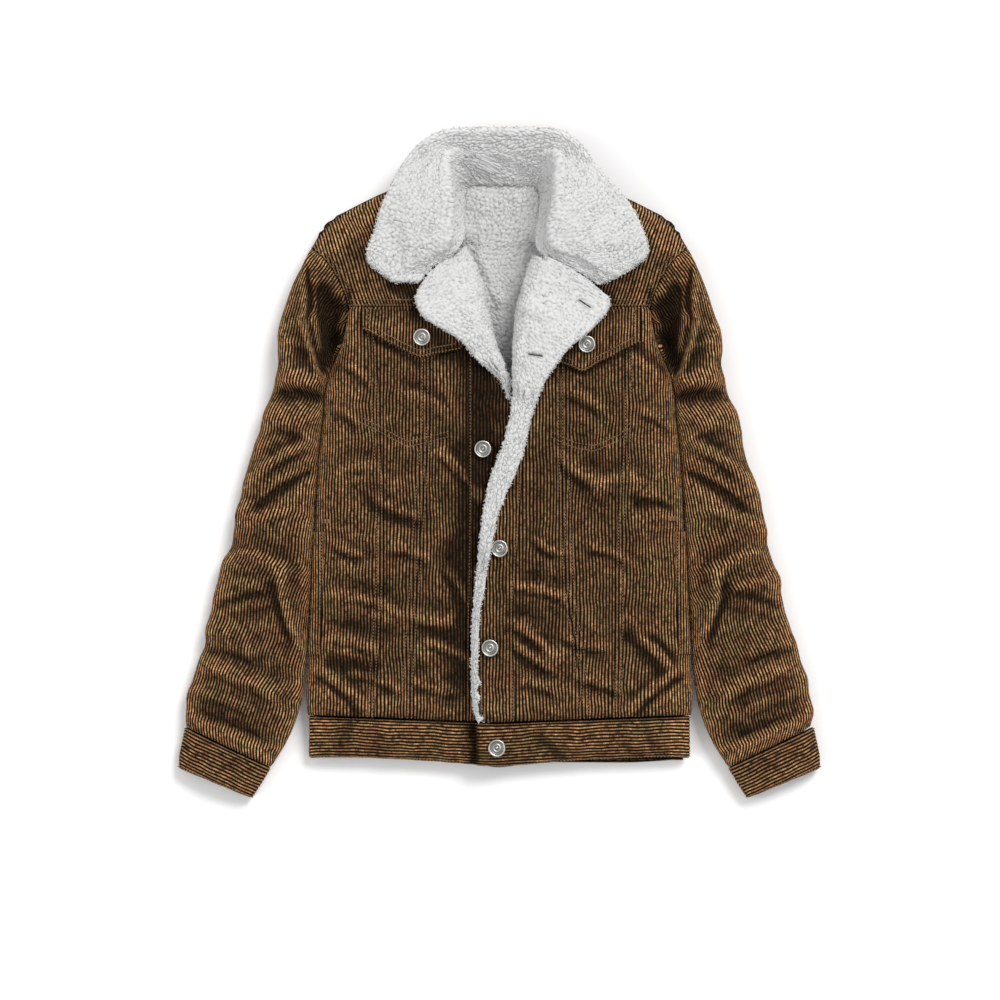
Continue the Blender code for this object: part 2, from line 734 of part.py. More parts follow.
def flat_rows(low, high, columns, ys, z):
    """Rows of a flat panel between two edges, each a function of y."""
    return [[(mix(low(y), high(y), i / columns), y, z) for i in range(columns + 1)] for y in ys]


def back(collection):
    """Yoke, middle and two sides of the back, flat on the surface."""
    high, low = BACK_YOKE_Y - SEAM_GAP, BAND_TOP_Y - BAND_DIP / 2

    def seam(y):
        return mix(BACK_SEAM_LOW, BACK_SEAM_TOP, (y - low) / (high - low))

    ys = [mix(high, low, i / BACK_STEPS) for i in range(BACK_STEPS + 1)]
    half = SEAM_GAP / 2
    edges = {
        "back_side_right": (lambda y: -back_edge(y), lambda y: -seam(y) - half),
        "back_middle": (lambda y: half - seam(y), lambda y: seam(y) - half),
        "back_side_left": (lambda y: seam(y) + half, back_edge),
    }
    for name, (start, end) in edges.items():
        sheet(name, flat_rows(start, end, 2, ys, CLOTH), CLOTH, CORDUROY, collection)

    inset = [(x * 0.98, y - 4) for x, y in SHOULDER]
    half_neck = 34
    across = inset + [(-half_neck, NECK_BACK_Y + 1), (half_neck, NECK_BACK_Y + 1)]
    across += [(-x, y) for x, y in reversed(inset)]
    width = back_edge(BACK_YOKE_Y)
    arm_y = mix(BACK_YOKE_Y, inset[0][1], 0.5)
    right_side = [inset[0], (-back_edge(arm_y), arm_y), (-width, BACK_YOKE_Y)]
    left_side = [(-x, y) for x, y in right_side]
    columns, steps = BACK_YOKE_GRID
    rows = []
    for j in range(steps + 1):
        row = []
        for i in range(columns + 1):
            x, y = patch(
                lambda t: line_point(across, t),
                lambda t: (mix(-width, width, t), BACK_YOKE_Y),
                lambda t: line_point(right_side, t),
                lambda t: line_point(left_side, t),
                i / columns,
                j / steps,
            )
            row.append((x, y, CLOTH))
        rows.append(row)
    sheet("back_yoke", rows, CLOTH, CORDUROY, collection)


def band_rows(side, low, high):
    """Rows of one half of the waistband's front, between two x, with its rolled end."""
    rows = []
    for place in BAND:
        row = []
        for i in range(BAND_COLUMNS + 1):
            x = mix(low, high, i / BAND_COLUMNS)
            middle = middle_share(x)
            top = BAND_TOP_Y - BAND_DIP * middle - 2 * SEAM_GAP
            y = mix(top, HEM_SIDE_Y - HEM_DIP * middle**2, place.down)
            edge = row_at_y(SIDE_EDGE, y)
            height = place.height * crowned(x) + overlap(side, x, WAIST_TAB_X)
            widest = min(edge.widest, place.height * BAND_WIDEST)
            inside = edge.edge - abs(x)
            row.append((x, y, mix(widest, height, rounded(inside / edge.radius))))
        end = row[0] if side < 0 else row[-1]
        edge = row_at_y(SIDE_EDGE, end[1])._replace(edge=abs(end[0]), widest=end[2])
        tucked = side_tuck(side, edge, BAND_CLOTH + SEAM_GAP, end[1])
        rows.append(tucked[::-1] + row if side < 0 else row + tucked)
    return rows


def waistband(collection):
    """Two lapped fronts and a flat back. Returns the left front, which carries a button."""
    width = row_at_y(SIDE_EDGE, HEM_SIDE_Y).edge
    sheet(
        "waistband_right", band_rows(-1, -width, WAIST_UNDER_X), BAND_CLOTH, CORDUROY, collection
    )
    left = sheet(
        "waistband_left", band_rows(1, WAIST_TAB_X, width), BAND_CLOTH, CORDUROY, collection
    )
    ys = [BAND_TOP_Y - BAND_DIP / 2 - SEAM_GAP, BACK_HEM_Y]
    rows = flat_rows(lambda y: BACK_INSET - width, lambda y: width - BACK_INSET, 6, ys, BAND_CLOTH)
    sheet("waistband_back", rows, BAND_CLOTH, CORDUROY, collection)
    return left


# Sleeves


def cap_height(x, y, place):
    """Height of a sleeve's mouth along the front of the armhole."""
    away = math.dist((x, y), SHOULDER[0])
    sewn = shoulder_height(away, front_height(-1, x, y) - ARMHOLE_SINK)
    hidden = row_at_y(SIDE_EDGE, y).widest - 5
    return mix(sewn, hidden, ease((place - YOKE_CORNER) / 0.2))


def tube_rows(side, table, per_row, folds):
    """Rings of a sleeve or cuff that lies flat, from the shoulder to the hand."""
    rows = []
    for row in stations(table, per_row):
        ring = []
        for k in range(AROUND):
            angle = 2 * math.pi * k / AROUND
            place, above = -math.cos(angle), math.sin(angle)
            bow = ARMHOLE_FRONT_BOW if above >= 0 else ARMHOLE_BACK_BOW
            curve = row.cap * (1 - place**2)
            x = mix(row.outer_x, row.inner_x, (place + 1) / 2) + bow[0] * curve
            y = mix(row.outer_y, row.inner_y, (place + 1) / 2) + bow[1] * curve
            widest = mix(SLEEVE_WIDEST * row.height, SHOULDER_WIDEST, row.cap)
            if above >= 0:
                z = mix(widest, row.height, above**SLEEVE_TOP)
                z = mix(z, cap_height(x, y, place), row.cap) + fold_relief(folds, x, y) * above
            else:
                z = widest * (1 - min(-above / FLAT_SHARE, 1) ** SLEEVE_UNDER)
            if BODY_SIDE_LOW < y < YOKE_SEAM_Y:
                x = min(x, -row_at_y(SIDE_EDGE, y).edge - SLEEVE_GAP)
            ring.append((-side * x, y, z))
        ring.append(ring[0])
        rows.append(ring if side < 0 else ring[::-1])
    return rows


# Flaps, facings, collar and buttons


def flap(name, table, ground, collection):
    """A pocket flap that hangs over the panels under it."""
    rows = []
    for j in range(FLAP_STEPS + 1):
        row = []
        for place in table:
            y = mix(place.top, place.bottom, j / FLAP_STEPS)
            row.append((place.x, y, ground.rest(place.x, y, FLAP_REACH) + LAID_GAP + FLAP_CLOTH))
        rows.append(row)
    return ground.add(sheet(name, rows, FLAP_CLOTH, CORDUROY, collection))


def button(name, place, ground, collection):
    """A turned metal button with a raised rim, seated at a place."""
    bm = bmesh.new()
    points = [bm.verts.new((radius * MM, 0, height * MM)) for radius, height in BUTTON_PROFILE]
    for a, b in zip(points, points[1:]):
        bm.edges.new((a, b))
    mesh = bpy.data.meshes.new(name)
    bm.to_mesh(mesh)
    bm.free()
    obj = bpy.data.objects.new(name, mesh)
    turn = obj.modifiers.new("turned", "SCREW")
    turn.steps = turn.render_steps = BUTTON_SIDES
    turn.use_merge_vertices = True
    turn.merge_threshold = 0.05 * MM
    turn.use_smooth_shade = True
    seat = ground.rest(*place, BUTTON_PROFILE[-3][0]) + BUTTON_GAP
    obj.location = Vector((*place, seat)) * MM
    return ground.add(finish(obj, METAL, collection))


def lapel_frame(row):
    """Direction from a lapel's edge to its roll, and the distance."""
    run = Vector((row.roll_x - row.edge_x, row.roll_y - row.edge_y))
    return run.normalized(), run.length


def lapel_cloth(name, table, ground, collection):
    """The turned-back cloth of a front, under its facing."""
    rows = []
    for row in stations(table, 2):
        way, length = lapel_frame(row)
        line = []
        for i in range(LAPEL_STEPS + 1):
            inside = mix(length - LAPEL_INSET, FACING_ROLL, i / LAPEL_STEPS)
            x, y = row.roll_x - way.x * inside, row.roll_y - way.y * inside
            line.append((x, y, ground.rest(x, y, LAPEL_REACH) + LAPEL_GAP + CLOTH))
        rows.append(line)
    if table[0].roll_x > 0:
        rows = [line[::-1] for line in rows]
    return ground.add(sheet(name, rows, CLOTH, CORDUROY, collection))


def facing(name, side, table, ground, collection):
    """Pile facing: over the lapel, round its roll, and under the front edge."""
    rows = []
    for row in table:
        way, length = lapel_frame(row)

        def place(forward):
            return row.roll_x + way.x * forward, row.roll_y + way.y * forward

        line = []
        for i in range(FACING_STEPS + 1):
            x, y = place(mix(-length, -FACING_ROLL, i / FACING_STEPS))
            line.append((x, y, ground.rest(x, y, LAPEL_REACH) + LAPEL_GAP + FACING_PILE))
        top = line[-1][2]
        floors = []
        for inside in (FACING_ROLL, FACING_ROLL + UNDER_LEG):
            cloth_floor = front_height(side, *place(-inside)) - CLOTH - UNDER_GAP - FACING_PILE
            floors.append(mix(cloth_floor, NECK_FLOOR, row.sunk))
        floor = floors[0]
        for angle in ROLL_ANGLES:
            turn = math.radians(angle)
            forward = (FACING_ROLL + row.inward) * math.cos(turn) - FACING_ROLL
            z = (top + floor) / 2 + (top - floor) / 2 * math.sin(turn)
            line.append((*place(forward), z))
        line.append((*place(-FACING_ROLL - UNDER_LEG), floors[1]))
        rows.append(line if side < 0 else line[::-1])
    return ground.add(sheet(name, rows, FACING_PILE, CURLY_PILE, collection))


def collar_rows(ground):
    """The surface between the collar's cloth and its pile, a row for each station."""
    rows = []
    for row in COLLAR:
        line = []
        for i in range(COLLAR_STAND + 1):
            t = i / COLLAR_STAND
            swing, rise = 1 - math.cos(t * math.pi / 2), math.sin(t * math.pi / 2)
            swing, rise = mix(t, swing, row.fold), mix(t, rise, row.fold)
            x, y = mix(row.neck_x, row.roll_x, swing), mix(row.neck_y, row.roll_y, swing)
            line.append((x, y, mix(row.neck_z, row.roll_z, rise)))
        for i in range(1, COLLAR_FALL + 1):
            t = i / COLLAR_FALL
            x, y = mix(row.roll_x, row.edge_x, t), mix(row.roll_y, row.edge_y, t)
            fall = mix(t, t**COLLAR_ROUND, row.fold)
            line.append((x, y, mix(row.roll_z, row.edge_z, fall)))
        lifted = []
        for x, y, z in line:
            under = ground.rest(x, y, FLAP_REACH)
            lifted.append((x, y, z if under is None else max(z, under + LAID_GAP + CLOTH)))
        rows.append(lifted)
    return rows


def collar(ground, collection):
    """Cloth under-collar, with the pile that lies on it."""
    rows = [list(line) for line in zip(*collar_rows(ground))][::-1]
    under = sheet("collar_under", rows, CLOTH, CORDUROY, collection)
    pile = sheet("collar_pile", moved_out(rows, SEAM_GAP), PILE, CURLY_PILE, collection, 1.0)
    return under, pile


def neck_lining(collection):
    """Pile lining of the inside back, as far as the neck opening shows it."""
    rows = []
    for place in NECK_LINING:
        row = []
        for i in range(LINING_COLUMNS + 1):
            t = i / LINING_COLUMNS
            climb = place.rise * abs(2 * t - 1) ** 4
            row.append((mix(place.right, place.left, t), place.y, LINING_TOP + climb))
        rows.append(row)
    sheet("neck_lining", rows, LINING_PILE, CURLY_PILE, collection)


def jacket():
    """Builds every piece, each on what carries it."""
    collection = bpy.data.collections.new("corduroy_jacket")
    bpy.context.scene.collection.children.link(collection)
    back(collection)
    neck_lining(collection)
    waist_left = waistband(collection)
    grounds = {}
    for side, word in ((-1, "right"), (1, "left")):
        panels = fronts(side, word, collection)
        panels.append(sheet(f"front_yoke_{word}", yoke_rows(side), CLOTH, CORDUROY, collection))
        grounds[side] = Ground(*panels)
        sleeve = tube_rows(side, SLEEVE, 2, SLEEVE_FOLDS)
        sheet(f"sleeve_{word}", sleeve, CLOTH, CORDUROY, collection)
        sheet(f"cuff_{word}", tube_rows(side, CUFF, 1, []), BAND_CLOTH, CORDUROY, collection)

    right, left = grounds[-1], grounds[1]
    flap("pocket_flap_right", RIGHT_FLAP, right, collection)
    flap("pocket_flap_left", LEFT_FLAP, left, collection)
    left.add(waist_left)
    for ground, places in ((right, RIGHT_BUTTONS), (left, LEFT_BUTTONS)):
        for name, place in places.items():
            button(name, place, ground, collection)

    over_fronts = Ground()
    over_fronts.trees = right.trees + left.trees
    lapel_cloth("lapel_right", RIGHT_LAPEL[:-1], right, collection)
    facing("facing_right", -1, stations(RIGHT_LAPEL, 2), right, collection)
    lapel_cloth("lapel_left", LEFT_LAPEL, left, collection)
    facing("facing_left", 1, stations(LEFT_LAPEL, 2) + LEFT_EDGE, left, collection)
    collar(over_fronts, collection)


clear_scene()
jacket()
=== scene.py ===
"""Visual model of a corduroy jacket with a curly pile collar, laid flat on its back.

Sizes are millimetres and become metres when a mesh is made. +X is the wearer's left, +Y runs
from hem to collar, +Z is up, and z = 0 is the surface that the jacket lies on. Each piece of
cloth is a fine grid laid on a smooth form: first the form, then folds, then wales or curls.
"""

import math
from collections import namedtuple

import bpy
import numpy as np
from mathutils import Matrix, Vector


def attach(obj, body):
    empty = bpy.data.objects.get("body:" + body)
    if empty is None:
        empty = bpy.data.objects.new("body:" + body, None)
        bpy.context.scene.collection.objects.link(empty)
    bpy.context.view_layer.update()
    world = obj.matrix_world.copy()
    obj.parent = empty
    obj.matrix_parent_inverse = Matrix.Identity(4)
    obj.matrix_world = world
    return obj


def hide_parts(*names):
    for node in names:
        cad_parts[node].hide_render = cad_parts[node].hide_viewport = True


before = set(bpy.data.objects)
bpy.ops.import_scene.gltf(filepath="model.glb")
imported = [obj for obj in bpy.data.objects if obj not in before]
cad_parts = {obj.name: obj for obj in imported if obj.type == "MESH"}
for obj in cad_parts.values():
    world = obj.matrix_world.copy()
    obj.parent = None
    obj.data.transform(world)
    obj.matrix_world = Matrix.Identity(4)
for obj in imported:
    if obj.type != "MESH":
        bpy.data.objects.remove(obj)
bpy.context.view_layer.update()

bl_info = {
    "name": "Corduroy jacket",
    "version": (1, 0, 0),
    "blender": (4, 5, 0),
    "location": "3D View > Sidebar > Jacket",
    "description": "Dresses the jacket's solids in corduroy, curly pile, stitching and buttons",
    "category": "Add Mesh",
}

MM = 0.001  # millimetres to metres
COLLECTION = "corduroy_jacket"

# Sizes shared with the solids.
CLOTH = 3.0  # thickness of corduroy with its wales
PILE = 6.0  # thickness of the collar's pile with its backing
FACING_PILE = 5.0
LINING_PILE = 7.5
BAND_CLOTH = 4.5  # the doubled waistband and cuffs
FLAP_CLOTH = 3.4  # the doubled pocket flaps
WELT_CLOTH = 1.8
SEAM_GAP = 0.3  # between pieces that are sewn edge to edge
PANEL_GAP = 0.7  # between the panels of a front
LAID_GAP = 0.45  # between pieces that lie on each other
LAPEL_GAP = 0.8
BUTTON_GAP = 0.5
SEAT = CLOTH + SEAM_GAP  # where a front's rolled side ends, on the back
SIDE_TUCK = 16.0  # how far a front's side runs back in under it
BACK_INSET = 8.0  # from the body's side in to the edge of the back
SLEEVE_GAP = 0.8  # between sleeve and body
YOKE_SEAM_Y = 179.0
BACK_YOKE_Y = 190.0
NECK_BACK_Y = 322.0
BAND_TOP_Y = -290.0  # the waist seam at the body's sides
BAND_DIP = 8.0  # and how much lower it runs in the middle
HALF_BODY = 210.0
CROWN_FALL = 0.11  # share of its height that a front loses from the middle to the side
OVERLAP_LIFT = 9.2  # how far the left front lies up on the right one
OVERLAP_SINK = 5.5  # how far the right front sinks under it
OVERLAP_SPAN = 60.0  # width over which either fades
UNDER_GAP = 1.65  # between a front's inside and its facing
UNDER_LEG = 6.0  # how far a facing runs on in under its front
LAPEL_INSET = 4.0  # from the pile's edge in to the lapel's cloth
LAPEL_REACH = 9.0  # a lapel lies over the highest place this near
FACING_ROLL = 8.0  # from the outermost line of a roll to where the facing lies flat
BACK_SEAM_TOP, BACK_SEAM_LOW = 95.0, 60.0  # x of the back's two seams, at the yoke and the waist
EdgeRow = namedtuple("EdgeRow", "y edge widest radius")
SIDE_EDGE = [  # half width of the body, height of its widest place, radius of its side roll
    EdgeRow(184, 171, 38, 12),
    EdgeRow(136, 181, 31, 24),
    EdgeRow(95, 198, 26, 38),
    EdgeRow(49, 203, 25, 44),
    EdgeRow(3, 208, 25, 45),
    EdgeRow(-89, 212, 24, 45),
    EdgeRow(-181, 216, 22, 42),
    EdgeRow(-227, 219, 21, 40),
    EdgeRow(-261, 222, 20, 34),
    EdgeRow(-300, 221, 15, 26),
    EdgeRow(-350, 219, 12, 22),
]

CrownRow = namedtuple("CrownRow", "y crown")
CROWN = [  # height of the fronts in the middle
    CrownRow(330, 36),
    CrownRow(300, 41),
    CrownRow(248, 46),
    CrownRow(180, 51),
    CrownRow(100, 56),
    CrownRow(0, 55),
    CrownRow(-100, 51),
    CrownRow(-200, 48),
    CrownRow(-250, 47),
    CrownRow(-278, 43),
    CrownRow(-300, 33),
]

SeamRow = namedtuple("SeamRow", "y outer inner placket opening")
RIGHT_SEAMS = [  # wearer's right front: two seams, the placket's seam, the folded or free edge
    SeamRow(190, -147, -78, -54, -42),
    SeamRow(171, -145, -78, -46, -33),
    SeamRow(151, -143, -79, -39, -25),
    SeamRow(132, -141, -79, -36, -16),
    SeamRow(112, -140, -80, -36, -9),
    SeamRow(96, -139, -80, -36, -3),
    SeamRow(84, -138, -80, -36, 11),
    SeamRow(49, -137, -80, -36, 14),
    SeamRow(-43, -133, -88, -36, 14),
    SeamRow(-135, -133, -94, -37, 12),
    SeamRow(-227, -139, -101, -39, 8),
    SeamRow(-300, -144, -104, -39, 8),
]
LEFT_SEAMS = [
    SeamRow(190, 148, 70, 54, 42),
    SeamRow(165, 146, 70, 45, 33),
    SeamRow(139, 144, 70, 40, 29),
    SeamRow(115, 143, 70, 37, 25.5),
    SeamRow(92, 143, 70, 35, 22.5),
    SeamRow(69, 142, 70, 34, 21.5),
    SeamRow(46, 142, 70, 32, 19),
    SeamRow(21, 141, 70, 28, 12),
    SeamRow(-5, 139, 71, 26, 2),
    SeamRow(-32, 137, 72, 25, -6),
    SeamRow(-60, 135, 73, 23, -11),
    SeamRow(-92, 134, 74, 21, -15),
    SeamRow(-129, 133, 76, 18, -20),
    SeamRow(-165, 133, 80, 16, -24),
    SeamRow(-205, 132, 87, 16, -26),
    SeamRow(-245, 131, 91, 17, -25),
    SeamRow(-300, 129, 96, 18, -18),
]

Fold = namedtuple("Fold", "x0 y0 x1 y1 width height")
FRONT_FOLDS = [  # soft ridges, and troughs with a height below zero
    Fold(-68, 9, -28, -35, 13, 5),
    Fold(-182, -14, -149, -8, 13, 4),
    Fold(-143, -43, -91, -66, 16, -4),
    Fold(-182, -158, -132, -171, 12, 4),
    Fold(-132, -171, -63, -181, 12, 4),
    Fold(-84, -209, -34, -227, 13, 4),
    Fold(-195, -204, -149, -215, 13, 5),
    Fold(-190, -228, -150, -236, 12, -4),
    Fold(72, 6, 116, -25, 14, 4),
    Fold(116, -25, 150, -20, 14, 4),
    Fold(162, -43, 195, -43, 12, -4),
    Fold(22, -146, 75, -154, 13, 4),
    Fold(26, -190, 62, -222, 13, 4),
    Fold(150, -200, 196, -246, 14, -4),
    Fold(-196, -262, -150, -284, 12, 4),
    Fold(196, -262, 150, -284, 12, 4),
]
SLEEVE_FOLDS = [  # on the right sleeve; the left one mirrors them
    Fold(-226, 224, -225, 164, 12, 5),
    Fold(-225, 164, -204, 96, 12, 5),
    Fold(-203, 196, -196, 120, 10, -9),
    Fold(-256, 98, -212, 95, 10, 4),
    Fold(-262, 82, -206, 76, 10, -7),
    Fold(-281, -14, -212, 24, 12, 4),
    Fold(-276, -43, -212, -4, 12, -5),
    Fold(-300, -103, -252, -123, 11, 4),
    Fold(-252, -129, -230, -206, 11, 4),
    Fold(-322, -170, -270, -160, 14, -4),
    Fold(-340, -232, -262, -262, 13, 4),
    Fold(-356, -298, -262, -338, 11, 4),
]

SleeveRow = namedtuple("SleeveRow", "outer_x outer_y inner_x inner_y height cap")
SLEEVE = [  # the right sleeve's two edges, its height, and how far it keeps the armhole's form
    SleeveRow(-216, 248, -197, 86, 46, 1.0),
    SleeveRow(-231, 219, -201, 68, 47, 0.5),
    SleeveRow(-244, 186, -203, 48, 47, 0.18),
    SleeveRow(-255, 145, -206, 24, 46, 0.0),
    SleeveRow(-259, 92, -208, -5, 45, 0.0),
    SleeveRow(-273, 54, -211, -38, 44, 0.0),
    SleeveRow(-284, 8, -213, -75, 43, 0.0),
    SleeveRow(-297, -33, -215, -108, 42, 0.0),
    SleeveRow(-307, -82, -217, -145, 41, 0.0),
    SleeveRow(-321, -128, -219, -180, 40, 0.0),
    SleeveRow(-331, -172, -221, -215, 39, 0.0),
    SleeveRow(-343, -215, -224, -248, 38, 0.0),
    SleeveRow(-354, -252, -229, -280, 37, 0.0),
    SleeveRow(-360, -283, -243, -317, 35, 0.0),
    SleeveRow(-361.5, -303, -263, -350, 31, 0.0),
]
CUFF = [
    SleeveRow(-361.8, -303.6, -263.3, -350.6, 30, 0.0),
    SleeveRow(-366, -322, -272, -366, 30, 0.0),
    SleeveRow(-369, -338, -279, -377, 29, 0.0),
    SleeveRow(-370, -351, -285, -386, 25, 0.0),
]
ARMHOLE_FRONT_BOW = (32.0, 8.0)  # how far the armhole curves into the body, in front
ARMHOLE_BACK_BOW = (5.0, 0.0)  # and behind
ARMHOLE_SINK = 5.0  # the armhole seam lies this much lower than the cloth beside it
ARMHOLE_SOFT = 12.0  # how far from the seam the cloth still dips
ARM_EASE = 40.0  # length over which the back's armhole edge runs into its side
YOKE_CORNER = 0.02  # where the yoke seam meets the armhole, on armhole()'s scale

SHOULDER = [  # right shoulder edge, from the sleeve to the neck
    (-216, 248), (-205, 264), (-190, 280), (-160, 298), (-126, 313), (-97, 320), (-66, 322),
]
SHOULDER_WIDEST = 15.0  # height of the shoulder's outermost line
SHOULDER_ROLL = 26.0  # width over which a front rolls down to it
SHOULDER_TUCK = 12.0  # and the back yoke up to it
SHOULDER_SEAT = 0.6 * CLOTH  # how far below that line the back yoke's cloth ends
RIGHT_NECK = [(-68, 320), (-68, 291), (-64, 262), (-60, 231), (-49, 205), (-37.5, 179.4)]
LEFT_NECK = [(75, 320), (74, 291), (68, 262), (58, 230), (48, 205), (38, 179.4)]

CollarRow = namedtuple(
    "CollarRow", "neck_x neck_y neck_z roll_x roll_y roll_z edge_x edge_y edge_z fold"
)
COLLAR = [  # neck seam, roll and free edge, from the right leaf's front edge round to the left's
    CollarRow(-90, 207, 50, -122, 208, 51, -150, 229, 49, 0.0),
    CollarRow(-79, 221, 50, -108, 223, 54, -152, 239, 49, 0.0),
    CollarRow(-65.5, 234, 53, -82, 240, 61, -149, 251, 49, 0.2),
    CollarRow(-50, 244, 55, -62, 250, 67, -144, 264, 49, 0.8),
    CollarRow(-43, 258, 42, -58, 264, 69, -140, 276, 50, 1.0),
    CollarRow(-43, 276, 28, -58, 282, 69, -136, 290, 52, 1.0),
    CollarRow(-43, 296, 16, -59, 302, 67, -129, 307, 53, 1.0),
    CollarRow(-42, 311, 8.5, -61, 324, 62, -119, 326, 53, 1.0),
    CollarRow(-37, 319, 7.2, -62, 342, 55, -108, 346, 52, 0.7),
    CollarRow(-26, 322, 7, -54, 357, 43, -90, 367, 51, 0.3),
    CollarRow(-14, 322, 7, -34, 356, 31, -60, 382, 46, 0.0),
    CollarRow(4, 322, 7, 3, 355, 27, 3, 384.5, 40, 0.0),
    CollarRow(24, 322, 7, 40, 356, 31, 63, 382, 46, 0.0),
    CollarRow(34, 322, 7, 62, 356, 43, 91, 367, 51, 0.3),
    CollarRow(44, 319, 7.2, 69, 340, 56, 108, 343, 52, 0.7),
    CollarRow(49, 309, 8.5, 68, 322, 64, 127, 322, 53, 1.0),
    CollarRow(49, 293, 17, 66, 301, 69, 147, 300, 54, 1.0),
    CollarRow(47, 273, 29, 63, 283, 71, 157, 282, 53, 1.0),
    CollarRow(44, 254, 43, 60, 266, 71, 164, 266, 52, 1.0),
    CollarRow(50, 239, 56, 64, 250, 70, 168, 255, 52, 0.8),
    CollarRow(68, 231.5, 58, 90, 238, 66, 169, 249, 52, 0.2),
    CollarRow(91.5, 218.5, 56, 118, 225, 60, 170, 243, 52, 0.0),
    CollarRow(114, 203.5, 54, 141, 216, 56, 168, 236, 52, 0.0),
]

COLLAR_ROUND = 1.4  # above 1, a folded leaf leaves its roll level before it falls

LapelRow = namedtuple("LapelRow", "roll_x roll_y edge_x edge_y inward sunk")
RIGHT_LAPEL = [  # roll, free edge, swelling into the neck, share that falls to the lining
    LapelRow(-54, 236, -90, 205, 20, 1.0),
    LapelRow(-45, 216, -96, 187, 20, 1.0),
    LapelRow(-35, 195, -87, 168, 18, 1.0),
    LapelRow(-26, 175, -64, 153, 14, 1.0),
    LapelRow(-18, 156, -42, 139, 10, 0.9),
    LapelRow(-10, 138, -27, 120.5, 6, 0.6),
    LapelRow(0, 119, -8, 104, 2, 0.3),
    LapelRow(9, 103, 4, 89, 0, 0.0),
    LapelRow(15, 92, 11, 75, 0, 0.0),
]
LEFT_LAPEL = [
    LapelRow(50, 233, 112, 202, 12, 1.0),
    LapelRow(42, 212, 126, 181, 12, 1.0),
    LapelRow(33, 189, 109, 158, 10, 1.0),
    LapelRow(26, 168, 90, 140, 8, 1.0),
    LapelRow(22, 142, 72, 122, 6, 0.8),
    LapelRow(18, 118, 58, 103, 3, 0.5),
    LapelRow(15, 95, 48, 83, 0, 0.2),
]
LEFT_EDGE = [  # the facing below the lapel, rolled over the front edge
    LapelRow(14, 72, 40, 63, 0, 0.0),
    LapelRow(11, 47, 34, 45, 0, 0.0),
    LapelRow(4, 21, 29, 22, 0, 0.0),
    LapelRow(-6, -5, 21, -5, 0, 0.0),
    LapelRow(-14, -32, 9, -32, 0, 0.0),
    LapelRow(-19, -60, -2, -60, 0, 0.0),
    LapelRow(-22.5, -92, -9.5, -92, 0, 0.0),
    LapelRow(-26, -129, -16, -129, 0, 0.0),
    LapelRow(-30, -165, -22.5, -165, 0, 0.0),
    LapelRow(-32, -205, -25, -205, 0, 0.0),
    LapelRow(-32, -242, -26, -242, 0, 0.0),
    LapelRow(-31.5, -260, -26.5, -260, 0, 0.0),
    LapelRow(-30, -278, -26, -278, 0, 0.0),
    LapelRow(-27.5, -293, -25, -293, 0, 0.0),
]
NECK_FLOOR = 13.0  # lowest place of a facing inside the neck, just over the lining

LiningRow = namedtuple("LiningRow", "y right left rise")
NECK_LINING = [  # inside back: its two ends, and how far they climb to the neck seam
    LiningRow(316, -30, 36, 0),
    LiningRow(306, -36, 42, 0),
    LiningRow(293, -36, 42, 3),
    LiningRow(276, -36, 40, 10),
    LiningRow(262, -38, 38, 16),
    LiningRow(253, -46, 46, 8),
    LiningRow(246, -60, 56, 0),
    LiningRow(225, -72, 66, 0),
    LiningRow(195, -66, 58, 0),
    LiningRow(165, -54, 50, 0),
    LiningRow(130, -34, 44, 0),
    LiningRow(100, -18, 38, 0),
    LiningRow(78, -10, 34, 0),
]
LINING_TOP = 11.0

FlapRow = namedtuple("FlapRow", "x top bottom")
RIGHT_FLAP = [
    FlapRow(-158, 177.5, 154),
    FlapRow(-151, 177, 151),
    FlapRow(-136, 176, 143),
    FlapRow(-121, 175, 135),
    FlapRow(-106, 174, 127.5),
    FlapRow(-91, 174, 121),
    FlapRow(-76, 175, 124),
    FlapRow(-58, 176, 127),
    FlapRow(-42, 177, 130),
]
LEFT_FLAP = [
    FlapRow(53, 173, 120),
    FlapRow(67, 172, 115),
    FlapRow(82, 172, 110),
    FlapRow(96, 172, 105),
    FlapRow(112, 173, 114),
    FlapRow(128, 175, 122),
    FlapRow(145, 177, 131),
    FlapRow(162, 178, 140),
]

RIGHT_BUTTONS = {  # on the right flap and front; the first two on the front lie under the lapel
    "button_flap_right": (-89, 144),
    "button_front_1": (-74, 190),
    "button_front_2": (-22, 132),
    "button_front_3": (-19, 16),
}
LEFT_BUTTONS = {  # on the left flap, and through the left front and waistband
    "button_flap_left": (100, 136),
    "button_front_4": (0, -98),
    "button_front_5": (-11, -212),
    "button_waist": (-3, -327),
}

WAIST_TAB_X = -26.0  # left end of the waistband, which laps over the right one
WAIST_UNDER_X = 9.0  # left end of the right one, under it
BandRow = namedtuple("BandRow", "down height")
BAND = [  # height of the waistband's front, from the waist seam to the hem
    BandRow(0.0, 28),
    BandRow(0.2, 31),
    BandRow(0.55, 30),
    BandRow(0.85, 25),
    BandRow(1.0, 21),
]
BAND_WIDEST = 0.6  # share of its height at which the waistband's rolled side is widest
HEM_SIDE_Y = -339.0
HEM_DIP = 11.5  # how much lower the hem runs in the middle

SLEEVE_WIDEST = 0.42  # share of its height at which a sleeve is widest
SLEEVE_TOP, SLEEVE_UNDER = 0.8, 0.6  # below 1, a sleeve's two halves are fuller than round
FLAT_SHARE = 0.75  # a sleeve lies flat from this share of its lower half's depth on
BODY_SIDE_LOW = -290.0  # a sleeve keeps clear of the body's side down to here

